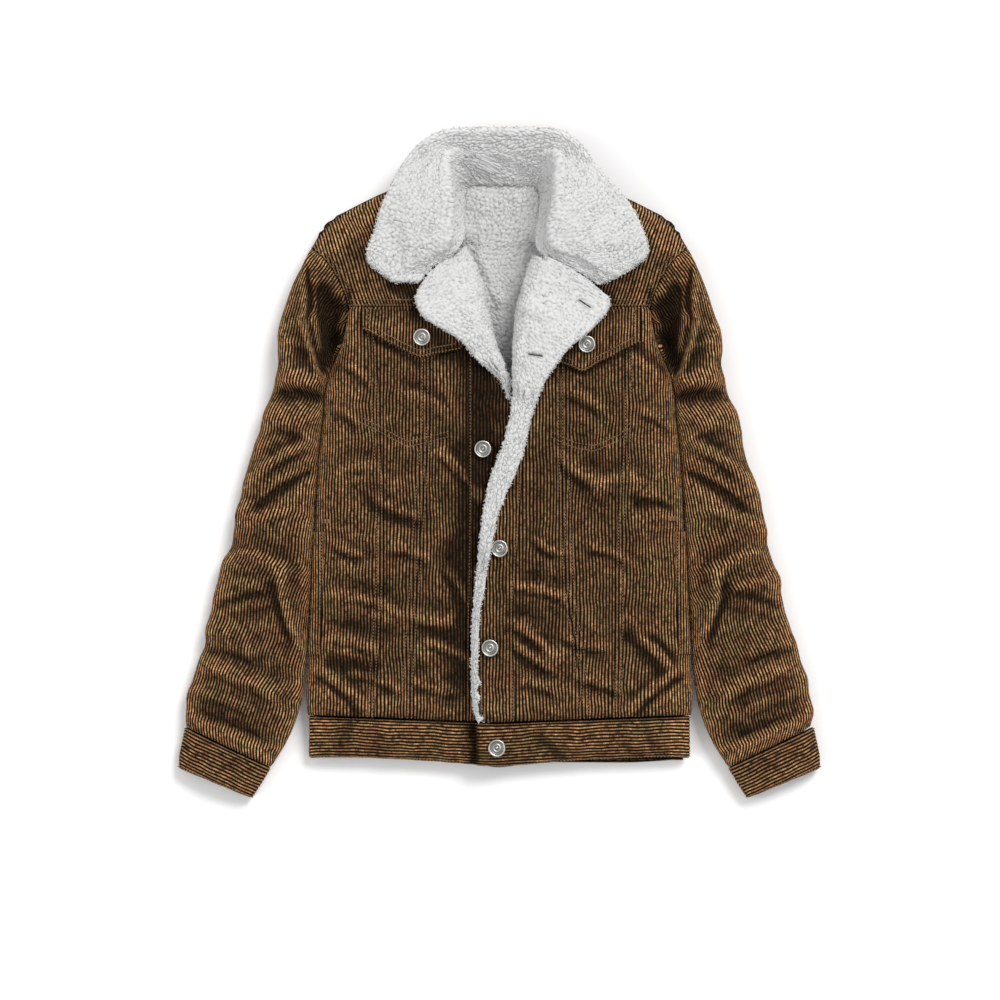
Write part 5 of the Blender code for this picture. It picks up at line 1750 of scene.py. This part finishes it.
def bump(tree, shader, height, strength, distance):
    values = {"Strength": strength, "Distance": distance * MM}
    made = tree_node(tree, "ShaderNodeBump", values)
    wire(tree, height, made.inputs["Height"])
    wire(tree, made.outputs["Normal"], shader.inputs["Normal"])


def corduroy_look():
    made, tree, shader = blank_material("brown_corduroy")
    sizes = bpy.context.scene.jacket_corduroy
    group = tree_node(tree, "ShaderNodeGroup", node_tree=shared_group("wale_pile"))
    for label in ("crest", "groove", "rust", "olive"):
        group.inputs[label.capitalize()].default_value = (*getattr(sizes, label), 1)
    wire(tree, group.outputs["Color"], shader.inputs["Base Color"])
    wire(tree, group.outputs["Rough"], shader.inputs["Roughness"])
    bump(tree, shader, group.outputs["Height"], 0.5, 0.5)
    dial(shader, {
        "Sheen Weight": 0.03,
        "Sheen Roughness": 0.45,
        "Sheen Tint": (0.9, 0.7, 0.5, 1),
        "Specular IOR Level": 0.05,
    })
    return made


def curly_pile_look():
    made, tree, shader = blank_material("white_curly_pile")
    sizes = bpy.context.scene.jacket_pile
    group = tree_node(tree, "ShaderNodeGroup", node_tree=shared_group("curl_pile"))
    dial(group, {"Knot": (*sizes.colour, 1), "Deep": (*sizes.painted_shade_colour, 1)})
    wire(tree, group.outputs["Color"], shader.inputs["Base Color"])
    bump(tree, shader, group.outputs["Height"], 0.35, 0.8)
    dial(shader, {"Roughness": 0.95, "Sheen Weight": 0.1, "Specular IOR Level": 0.1})
    return made


def thread_look(name="brown_thread", share=1.0):
    """Twisted thread, in a share of the set colour's brightness."""
    made, tree, shader = blank_material(name)
    patches, flecks = mottled(tree, 20.0, 0.5)
    light = tuple(share * part for part in bpy.context.scene.jacket_stitching.colour)
    dark = tuple(0.6 * part for part in light)
    wire(tree, mix_colour(tree, patches, (*dark, 1), (*light, 1)), shader.inputs["Base Color"])
    bump(tree, shader, flecks, 0.4, 0.2)
    dial(shader, {"Roughness": 0.75})
    return made


def metal_look():
    """Metal rubbed bright on its raised rings and tarnished between them."""
    made, tree, shader = blank_material("aged_metal")
    sizes = bpy.context.scene.jacket_buttons
    patches, flecks = mottled(tree, 5.0, 0.5)
    patches = graded(tree, spread(tree, patches, 0.35, 0.7), 0.25)
    bright = math_node(tree, "ADD", graded(tree, cloth_map(tree, "wear")[0], 0.8), patches)
    colour = mix_colour(tree, bright, (*sizes.tarnish, 1), (*sizes.colour, 1))
    wire(tree, colour, shader.inputs["Base Color"])
    rough = math_node(tree, "SUBTRACT", 0.5, graded(tree, bright, 0.2))
    wire(tree, rough, shader.inputs["Roughness"])
    bump(tree, shader, flecks, 0.15, 0.1)
    dial(shader, {"Metallic": 1.0})
    return made


LOOKS = {
    "brown_corduroy": corduroy_look,
    "white_curly_pile": curly_pile_look,
    "brown_thread": thread_look,
    "dark_thread": lambda: thread_look("dark_thread", 0.1),
    "aged_metal": metal_look,
}


def material(name):
    """The named finish, made when it is first asked for."""
    return bpy.data.materials.get(name) or LOOKS[name]()


# The jacket's pieces

SIDES = ((-1, "right"), (1, "left"))
FRONT_PLAN = (
    ("front_side", "side", "outer"),
    ("front_middle", "outer", "inner"),
    ("front_centre", "inner", "placket"),
    ("placket", "placket", "opening"),
)
GROUNDS = {-1: Terrain(), 1: Terrain()}
FRONTS = {-1: Front(-1), 1: Front(1)}
UNDER_COLLAR = Terrain()
PILES = []
SEWN = []  # lines of stitches: points and normals


def on_front(side, places, lift=STITCH_LIFT):
    """A line of places laid on a front: (points, normals)."""
    x, y = places[:, 0], places[:, 1]
    step = 1.0
    slope_x = front_height(side, x + step, y) - front_height(side, x - step, y)
    slope_y = front_height(side, x, y + step) - front_height(side, x, y - step)
    normals = unit(np.stack([-slope_x, -slope_y, 0 * x + 2 * step], 1))
    return np.stack([x, y, front_height(side, x, y)], 1) + lift * normals, normals


def fronts():
    for side, word in SIDES:
        front = FRONTS[side]
        rows = np.linspace(0, 1, 112)
        for name, outer, inner in FRONT_PLAN:
            half = PANEL_GAP / 2
            low = front.seam(inner, rows) + (half if inner != "opening" else 0)
            high = front.seam(outer, rows) - (half if outer != "side" else 0)
            sewn = (inner != "opening", outer != "side", True, True)
            obj, points = corduroy(
                f"cloth_{name}_{word}", front.place, rows, low, high, -side, seam=sewn,
            )
            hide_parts(f"{name}_{word}")
            GROUNDS[side].lay(points)
            starts = [STITCH_IN] if name == "placket" else [STITCH_IN, STITCH_IN + STITCH_APART]
            for inside in starts:
                if name != "front_centre":
                    SEWN.append(seam_run(front.place, low + inside, rows, -side))
            if name in ("front_centre", "placket"):
                SEWN.append(seam_run(front.place, high - STITCH_IN, rows, -side))


def welts():
    for side, word in SIDES:
        front = FRONTS[side]
        rows = np.linspace(WELT_TOP, WELT_LOW, 38)
        high = front.seam("side", rows) - WELT_IN
        low = high - WELT_WIDTH
        obj = corduroy(
            f"cloth_pocket_welt_{word}", front.place, rows, low, high, -side,
            thickness=WELT_CLOTH, seam=(0, 0, 0, 0), lift=WELT_LIFT,
        )[0]
        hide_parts(f"pocket_welt_{word}")
        SEWN.append(seam_run(front.place, low + STITCH_IN, rows, -side, WELT_STITCH_LIFT))


def yokes():
    for side, word in SIDES:
        yoke = Yoke(side)
        rows = np.linspace(YOKE_SEAM_Y + SEAM_GAP, 321, 36)
        low, high = yoke.limits(rows)
        obj, points = corduroy(
            f"cloth_front_yoke_{word}", yoke.place, rows, low, high, side, seam=(0, 1, 1, 0),
        )
        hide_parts(f"front_yoke_{word}")
        GROUNDS[side].lay(points)
        for above in (STITCH_IN, STITCH_IN + STITCH_APART):
            y = YOKE_SEAM_Y + above
            end = np.interp(y, yoke.outer[:, 1], yoke.outer[:, 0]) - 3
            out = np.linspace(yoke.inner[0][0] + 12, end, 60)
            SEWN.append(on_front(side, np.stack([side * out, 0 * out + y], 1)))
        for inside in (STITCH_IN, STITCH_IN + STITCH_APART):
            arm = yoke.outer[yoke.outer[:, 1] < 262] - np.array([inside, 0.0])
            across = arm[:, 0] - Yoke.LEAN * (arm[:, 1] - YOKE_SEAM_Y)
            SEWN.append(seam_run(yoke.place, across, arm[:, 1], side))


def flat_place(across, rows):
    return np.stack([across, rows[:, None] + 0 * across, BACK_HEIGHT + 0 * across], 2)


def back_yoke_place(across, rows):
    """Flat, with its shoulder edges rolled up to the front yokes' widest line."""
    points = flat_place(across, rows)
    x, y = np.abs(points[..., 0]), points[..., 1]
    yoke = Yoke(1)
    away = yoke.away(x, y, yoke.shoulder[::3])
    end = (SHOULDER_WIDEST - SHOULDER_SEAT) * ease((x - SHOULDER_END_X) / SHOULDER_TUCK)
    flat = points[..., 2].copy()
    points[..., 2] = mix(np.maximum(end, flat), flat, rounded(away / SHOULDER_TUCK))
    return points


def back():
    high, low = BACK_YOKE_Y - SEAM_GAP, BAND_TOP_Y - BAND_DIP / 2
    rows = np.linspace(high, low, 36)
    seam = mix(BACK_SEAM_LOW, BACK_SEAM_TOP, (rows - low) / (high - low))
    half = SEAM_GAP / 2
    panels = {
        "back_side_right": (-back_edge(rows), -seam - half),
        "back_middle": (half - seam, seam - half),
        "back_side_left": (seam + half, back_edge(rows)),
    }
    for name, (start, end) in panels.items():
        obj = corduroy(f"cloth_{name}", flat_place, rows, start, end, 1)[0]
        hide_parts(name)
    inset = np.array([(-x - 0.4, y - 0.5) for x, y in SHOULDER])
    shoulder = inset[np.argsort(inset[:, 1])]
    arm_y = mix(BACK_YOKE_Y, shoulder[0][1], 0.5)
    edge = np.array([(back_edge(np.float64(y)), y) for y in (BACK_YOKE_Y, arm_y)])
    outline = np.concatenate([edge, shoulder, [(34.0, NECK_BACK_Y + 1)]])
    rolled = np.linspace(NECK_BACK_Y, shoulder[0][1] - SHOULDER_TUCK, 50)
    rows = np.concatenate([rolled[:-1], np.linspace(rolled[-1], BACK_YOKE_Y, 10)])
    half_width = np.interp(rows, outline[:, 1], outline[:, 0])
    obj = corduroy("cloth_back_yoke", back_yoke_place, rows, -half_width, half_width, 1)[0]
    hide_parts("back_yoke")


def waistband():
    width = float(at_y(SIDE_EDGE, "edge", np.float64(HEM_SIDE_Y)))
    for side, word, low, high in (
        (-1, "right", -width, WAIST_UNDER_X),
        (1, "left", WAIST_TAB_X, width),
    ):
        band = Band(side, low, high)
        rows = np.linspace(0, band.reach, int(band.reach / 4))
        start, end = band.limits(rows)
        obj, points = corduroy(
            f"cloth_waistband_{word}", band.place, rows, start, end, 1,
            thickness=BAND_CLOTH, seam=(1, 1, 0, 0),
        )
        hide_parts(f"waistband_{word}")
        GROUNDS[side].lay(points)
        for across in (start + STITCH_IN, end - STITCH_IN):
            SEWN.append(seam_run(band.place, across, rows, 1))

    top = BAND_TOP_Y - BAND_DIP / 2 - SEAM_GAP

    def back_place(across, rows):
        return np.stack([rows[:, None] + 0 * across, top - across, BACK_HEIGHT + 0 * across], 2)

    rows = np.linspace(BACK_INSET - width, width - BACK_INSET, 60)
    length = top - np.interp(rows, *zip(*BACK_HEM))
    obj = corduroy(
        "cloth_waistband_back", back_place, rows, 0 * rows, length, -1,
        thickness=BAND_CLOTH, seam=(1, 1, 0, 0),
    )[0]
    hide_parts("waistband_back")


def sleeves():
    for side, word in SIDES:
        tube = Tube(side, SLEEVE, SLEEVE_FOLDS)
        rows = tube.rows()
        low, high = tube.limits(rows)
        obj = corduroy(f"cloth_sleeve_{word}", tube.place, rows, low, high, side)[0]
        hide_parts(f"sleeve_{word}")
        cuff = Cuff(side)
        rows = np.arange(RING + 1.0)
        low, high = cuff.limits(rows)
        obj = corduroy(
            f"cloth_cuff_{word}", cuff.place, rows, low, high, -side,
            wrap=True, thickness=BAND_CLOTH, seam=(1, 1, 0, 0),
        )[0]
        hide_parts(f"cuff_{word}")
        for across in (low + STITCH_IN, high - STITCH_IN):
            SEWN.append(seam_run(cuff.place, across, rows, -side))


def laid_corduroy(name, grid, out, thickness, seam, rows_apart=4.0):
    """Corduroy over a coarse grid of places. Returns its points."""
    draped = Draped(grid)
    rows = np.linspace(0, draped.last, max(int(mean_run(draped.grid)[-1] / rows_apart), 8))
    low, high = draped.limits(rows)
    obj, points = corduroy(
        f"cloth_{name}", draped.place, rows, low, high, out, thickness=thickness, seam=seam,
    )
    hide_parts(name)
    return points


def flaps():
    for side, word, table in ((-1, "right", RIGHT_FLAP), (1, "left", LEFT_FLAP)):
        grid = flap_grid(table, GROUNDS[side])
        points = laid_corduroy(f"pocket_flap_{word}", grid, -1, FLAP_CLOTH, (0, 0, 1, 0))
        GROUNDS[side].lay(points)
        draped = Draped(grid)
        deep = np.linalg.norm(grid[-1] - grid[0], axis=1)
        width = draped.widths[-1]
        for inside in (STITCH_IN, STITCH_IN + STITCH_APART):
            across = np.linspace(inside, width - inside, 60)
            down = draped.last * (1 - inside / np.interp(across, draped.widths, deep))
            line = [draped.place(np.array([[a]]), np.array([d]))[0, 0] for a, d in zip(across, down)]
            SEWN.append((np.array(line) + 0.1 * UP, 0 * np.array(line) + UP))
            for end in (inside, width - inside):
                low = draped.last * (1 - inside / np.interp(end, draped.widths, deep))
                rows = np.linspace(0.3, low, 20)
                SEWN.append(seam_run(draped.place, 0 * rows + end, rows, -1))


def lapels():
    UNDER_COLLAR.heights = np.maximum(GROUNDS[-1].heights, GROUNDS[1].heights)
    for side, word, table in ((-1, "right", RIGHT_LAPEL[:-2]), (1, "left", LEFT_LAPEL)):
        grid = lapel_cloth_grid(table, GROUNDS[side])
        GROUNDS[side].lay(grid)
        laid_corduroy(f"lapel_{word}", grid - CLOTH * UP, 1, CLOTH, (0, 0, 0, 0))
    for side, word, table in ((-1, "right", RIGHT_LAPEL), (1, "left", LEFT_LAPEL + LEFT_EDGE)):
        grid = facing_grid(side, table, GROUNDS[side])
        obj, points, normals = curly_pile(
            f"pile_facing_{word}", grid, FACING_PILE, -1, 51 + side, 0.5,
            puffed=(SEAM_PUFF, 1, 1, 1), over=(PILE_OVER,) * 4,
        )
        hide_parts(f"facing_{word}")
        GROUNDS[side].lay(points)
        PILES.append((points, normals))


def collar():
    grid = collar_grid(UNDER_COLLAR)
    obj, points, normals = curly_pile(
        "pile_collar", grid, PILE, -1, 61, PILE - 0.5,
        puffed=(1, SEAM_PUFF, 1, 1), over=(PILE_OVER, 0, PILE_OVER, PILE_OVER),
    )
    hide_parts("collar_pile")
    PILES.append((points, normals))
    inset = (-UNDER_INSET, 0, -UNDER_INSET, -UNDER_INSET)
    backing = longer(grid - CLOTH * grid_normals(grid, -1), inset)
    laid_corduroy("collar_under", backing, 1, CLOTH, (0, 0, 0, 0))


def neck_lining():
    obj, points, normals = curly_pile(
        "pile_neck_lining", lining_grid(), LINING_PILE, -1, 71, 0.0,
        puffed=(0.3,) * 4,
    )
    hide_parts("neck_lining")
    PILES.append((points, normals))


def loose_curls():
    """Sets single curls over all the pile."""
    curls("pile_loose_curls", PILES, CURL_COUNT, 81)


BUTTON = [  # radius, height and shine of the turned shape, from its middle out and down
    (0.0, 3.2, 1.0), (0.7, 3.1, 1.0), (1.2, 2.4, 0.5), (1.6, 1.9, 0.0), (3.3, 2.0, 0.0),
    (3.7, 2.5, 0.7), (4.3, 2.5, 0.7), (4.7, 2.0, 0.0), (6.6, 2.2, 0.0), (7.4, 2.6, 0.1),
    (8.0, 4.1, 0.8), (8.6, 4.6, 1.0), (9.2, 4.5, 1.0), (9.7, 3.9, 0.9), (10.0, 3.1, 0.6),
    (10.0, 1.4, 0.3), (9.4, 0.5, 0.3), (8.4, 0.0, 0.3), (0.0, 0.0, 0.3),
]


def buttons():
    profile = [ring[:2] for ring in BUTTON]
    shine = np.repeat([ring[2] for ring in BUTTON], BUTTON_SIDES)
    for side, places in ((-1, RIGHT_BUTTONS), (1, LEFT_BUTTONS)):
        ground = GROUNDS[side]
        for name, (x, y) in places.items():
            seat = ground.rest(np.float64(x), np.float64(y), BUTTON_REACH) + BUTTON_GAP
            points, ids = lathe((x, y, float(seat)), profile, BUTTON_SIDES)
            faces, uvs = grid_faces(ids, -1), points[:, :2] / MAP_CELL
            obj = make_mesh(f"metal_{name}", points, faces, uvs, material("aged_metal"), shine)
            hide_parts(name)
            ground.lay(points)


def stitching():
    """Sews every seam gathered so far, and the bottoms of the chest pockets."""
    for side, points in ((1, POCKET_POINTS), (-1, RIGHT_POCKET_POINTS)):
        for up in (0.0, STITCH_APART):
            SEWN.append(on_front(side, straight(points) + np.array([0.0, up])))
    stitches("thread_seams", SEWN)
    tacks = []
    for x, y in BAR_TACKS:
        side = 1 if x > 0 else -1
        for row in range(TACK_ROWS):
            ends = [(x + end, y + TACK_STEP * row) for end in (-TACK_HALF, TACK_HALF)]
            tacks.append(on_front(side, straight(ends, 1.0), 0.5 + CLOTH))
    stitches("thread_bar_tacks", tacks)


def buttonholes():
    """Corded slits in the left lapel's pile."""
    lines = []
    along = np.linspace(-SLIT_HALF, SLIT_HALF, 12)[:, None]
    for x, y, turn in BUTTONHOLES:
        way = np.array([math.cos(math.radians(turn)), math.sin(math.radians(turn))])
        off = np.array([-way[1], way[0]])
        for aside in (-SLIT_ASIDE, SLIT_ASIDE):
            places = np.array([x, y]) + along * way + aside * off
            z = GROUNDS[1].rest(places[:, 0], places[:, 1], 3) + SLIT_RISE
            points = np.concatenate([places, z[:, None]], 1)
            lines.append((points, 0 * points + UP))
    stitches("thread_buttonholes", lines, 1.0, "dark_thread", 4.0)


# Settings and operators


class JACKET_PG_corduroy(bpy.types.PropertyGroup):
    pitch: bpy.props.FloatProperty(
        name="Wale pitch", description="Distance from one wale to the next",
        default=0.0038, min=0.001, unit="LENGTH",
    )
    depth: bpy.props.FloatProperty(
        name="Wale depth", description="How deep the groove between two wales is",
        default=0.0012, min=0.0, unit="LENGTH",
    )
    crest: bpy.props.FloatVectorProperty(
        name="Wale", description="Colour of the pile on a wale", subtype="COLOR",
        default=(0.3, 0.168, 0.076), min=0, max=1,
    )
    # the ground weave between wales, darkened to near black with painted shade
    groove: bpy.props.FloatVectorProperty(
        name="Groove", description="Colour between two wales", subtype="COLOR",
        default=(0.006, 0.0036, 0.0021), min=0, max=1,
    )
    rust: bpy.props.FloatVectorProperty(
        name="Rust", description="Colour of the redder patches", subtype="COLOR",
        default=(0.27, 0.122, 0.056), min=0, max=1,
    )
    olive: bpy.props.FloatVectorProperty(
        name="Olive", description="Colour of the greener patches", subtype="COLOR",
        default=(0.215, 0.148, 0.057), min=0, max=1,
    )


class JACKET_PG_pile(bpy.types.PropertyGroup):
    spacing: bpy.props.FloatProperty(
        name="Spacing", description="Distance between the points of a pile surface",
        default=0.0013, min=0.001, unit="LENGTH",
    )
    knot: bpy.props.FloatProperty(
        name="Knot", description="Size of one curly knot", default=0.0052, min=0.002, unit="LENGTH",
    )
    depth: bpy.props.FloatProperty(
        name="Depth", description="Height of a knot over what lies round it",
        default=0.0030, min=0.0, unit="LENGTH",
    )
    colour: bpy.props.FloatVectorProperty(
        name="Pile", description="Colour of the knots", subtype="COLOR",
        default=(0.585, 0.585, 0.58), min=0, max=1,
    )
    # painted shade between the knots, darker than the pile itself
    painted_shade_colour: bpy.props.FloatVectorProperty(
        name="Deep pile", description="Colour between the knots", subtype="COLOR",
        default=(0.3, 0.3, 0.295), min=0, max=1,
    )


class JACKET_PG_stitching(bpy.types.PropertyGroup):
    length: bpy.props.FloatProperty(
        name="Stitch", description="Length of one stitch", default=0.0030, min=0.001, unit="LENGTH",
    )
    gap: bpy.props.FloatProperty(
        name="Gap", description="Distance between two stitches", default=0.0008, min=0.0, unit="LENGTH",
    )
    thickness: bpy.props.FloatProperty(
        name="Thread", description="Thickness of the thread", default=0.0009, min=0.0002, unit="LENGTH",
    )
    colour: bpy.props.FloatVectorProperty(
        name="Thread colour", description="Colour of the thread", subtype="COLOR",
        default=(0.27, 0.155, 0.08), min=0, max=1,
    )


class JACKET_PG_buttons(bpy.types.PropertyGroup):
    colour: bpy.props.FloatVectorProperty(
        name="Metal", description="Colour of the worn metal", subtype="COLOR",
        default=(0.62, 0.6, 0.56), min=0, max=1,
    )
    tarnish: bpy.props.FloatVectorProperty(
        name="Tarnish", description="Colour of the darker patches", subtype="COLOR",
        default=(0.17, 0.17, 0.165), min=0, max=1,
    )


class JACKET_PG_stage(bpy.types.PropertyGroup):
    height: bpy.props.FloatProperty(
        name="Camera height", description="Distance from the floor up to the camera",
        default=9.0, min=0.5, unit="LENGTH",
    )
    shown: bpy.props.FloatProperty(
        name="Shown", description="Width of the floor that the view shows",
        default=1.15, min=0.2, unit="LENGTH",
    )
    floor: bpy.props.FloatVectorProperty(
        name="Floor", description="Colour of the floor", subtype="COLOR",
        default=(0.9, 0.9, 0.9), min=0, max=1,
    )


class JacketStep:
    """What the jacket's operators share."""

    bl_options = {"REGISTER"}

    def execute(self, context):
        for step in self.steps:
            step()
        return {"FINISHED"}


class JACKET_OT_body(JacketStep, bpy.types.Operator):
    """Lay the back, its lining, the fronts, yokes, pocket welts and waistband"""

    bl_idname = "jacket.body"
    bl_label = "Body"
    steps = (back, neck_lining, fronts, yokes, welts, waistband)


class JACKET_OT_sleeves(JacketStep, bpy.types.Operator):
    """Lay the sleeves and their cuffs"""

    bl_idname = "jacket.sleeves"
    bl_label = "Sleeves"
    steps = (sleeves,)


class JACKET_OT_pockets(JacketStep, bpy.types.Operator):
    """Lay the pocket flaps on the fronts and set the buttons"""

    bl_idname = "jacket.pockets"
    bl_label = "Pocket flaps and buttons"
    steps = (flaps, buttons)


class JACKET_OT_collar(JacketStep, bpy.types.Operator):
    """Turn back the lapels with their pile and lay the collar"""

    bl_idname = "jacket.collar"
    bl_label = "Lapels and collar"
    steps = (lapels, collar, loose_curls)


class JACKET_OT_stitching(JacketStep, bpy.types.Operator):
    """Sew the seams, pockets, buttonholes and bar tacks"""

    bl_idname = "jacket.stitching"
    bl_label = "Stitching"
    steps = (stitching, buttonholes)


class JACKET_OT_stage(bpy.types.Operator):
    """Set the floor, the soft light and the camera"""

    bl_idname = "jacket.stage"
    bl_label = "Stage"

    def execute(self, context):
        stage(context.scene.jacket_stage)
        return {"FINISHED"}


FOCUS_HEIGHT = 0.02  # the height at which the shown length is measured
FLOOR_HALF, FLOOR_DROP = 3.0, 0.0006  # half the floor's width, and how far under the cloth it is
SUNS = (  # name, place, width in degrees, and strength
    ("key_light", (1.3, 1.8, 2.3), 26, 2.2),
    ("side_light", (-2.1, -0.3, 1.6), 30, 0.6),
)
LIT_PLACE = Vector((0, -0.05, 0))  # the lights point here
ROOM_LIGHT = 0.76
CAMERA_X, CAMERA_Y = 0.0006, -0.0425
SENSOR = 36.0


def stage(sizes):
    scene = bpy.context.scene
    mesh = bpy.data.meshes.new("floor")
    corners = [(-1, -1), (1, -1), (1, 1), (-1, 1)]
    mesh.from_pydata([(FLOOR_HALF * x, FLOOR_HALF * y, 0) for x, y in corners], [], [range(4)])
    floor = bpy.data.objects.new("floor", mesh)
    floor.location.z = -FLOOR_DROP
    made, tree, shader = blank_material("floor")
    colour = (*sizes.floor, 1)
    dial(shader, {"Base Color": colour, "Roughness": 0.9, "Specular IOR Level": 0.1})
    mesh.materials.append(made)
    things = [floor]
    for name, place, width, power in SUNS:
        data = bpy.data.lights.new(name, "SUN")
        data.angle = math.radians(width)
        data.energy = power
        light = bpy.data.objects.new(name, data)
        light.location = place
        light.rotation_euler = (LIT_PLACE - Vector(place)).to_track_quat("-Z", "Y").to_euler()
        things.append(light)
    world = bpy.data.worlds.new("room")
    world.use_nodes = True
    back = world.node_tree.nodes["Background"]
    dial(back, {"Color": (1, 1, 1, 1), "Strength": ROOM_LIGHT})
    scene.world = world
    scene.view_settings.view_transform = "Standard"
    data = bpy.data.cameras.new("camera")
    data.sensor_width = SENSOR
    data.lens = SENSOR * (sizes.height - FOCUS_HEIGHT) / sizes.shown
    camera = bpy.data.objects.new("camera", data)
    camera.location = (CAMERA_X, CAMERA_Y, sizes.height)
    for thing in (*things, camera):
        scene.collection.objects.link(thing)
    scene.camera = camera


OPERATORS = (
    JACKET_OT_body,
    JACKET_OT_sleeves,
    JACKET_OT_pockets,
    JACKET_OT_collar,
    JACKET_OT_stitching,
    JACKET_OT_stage,
)


class JACKET_PT_panel(bpy.types.Panel):
    """The jacket's steps, in order"""

    bl_idname = "JACKET_PT_panel"
    bl_label = "Jacket"
    bl_space_type = "VIEW_3D"
    bl_region_type = "UI"
    bl_category = "Jacket"

    def draw(self, context):
        for operator in OPERATORS:
            self.layout.operator(operator.bl_idname)


GROUPS = {
    "jacket_corduroy": JACKET_PG_corduroy,
    "jacket_pile": JACKET_PG_pile,
    "jacket_stitching": JACKET_PG_stitching,
    "jacket_buttons": JACKET_PG_buttons,
    "jacket_stage": JACKET_PG_stage,
}
CLASSES = (*GROUPS.values(), *OPERATORS, JACKET_PT_panel)


def register():
    for item in CLASSES:
        bpy.utils.register_class(item)
    for name, group in GROUPS.items():
        setattr(bpy.types.Scene, name, bpy.props.PointerProperty(type=group))


def unregister():
    for name in GROUPS:
        delattr(bpy.types.Scene, name)
    for item in reversed(CLASSES):
        bpy.utils.unregister_class(item)


def main():
    register()
    collection = bpy.data.collections.new(COLLECTION)
    bpy.context.scene.collection.children.link(collection)
    for operator in OPERATORS:
        family, step = operator.bl_idname.split(".")
        getattr(getattr(bpy.ops, family), step)()


if __name__ == "__main__":
    main()
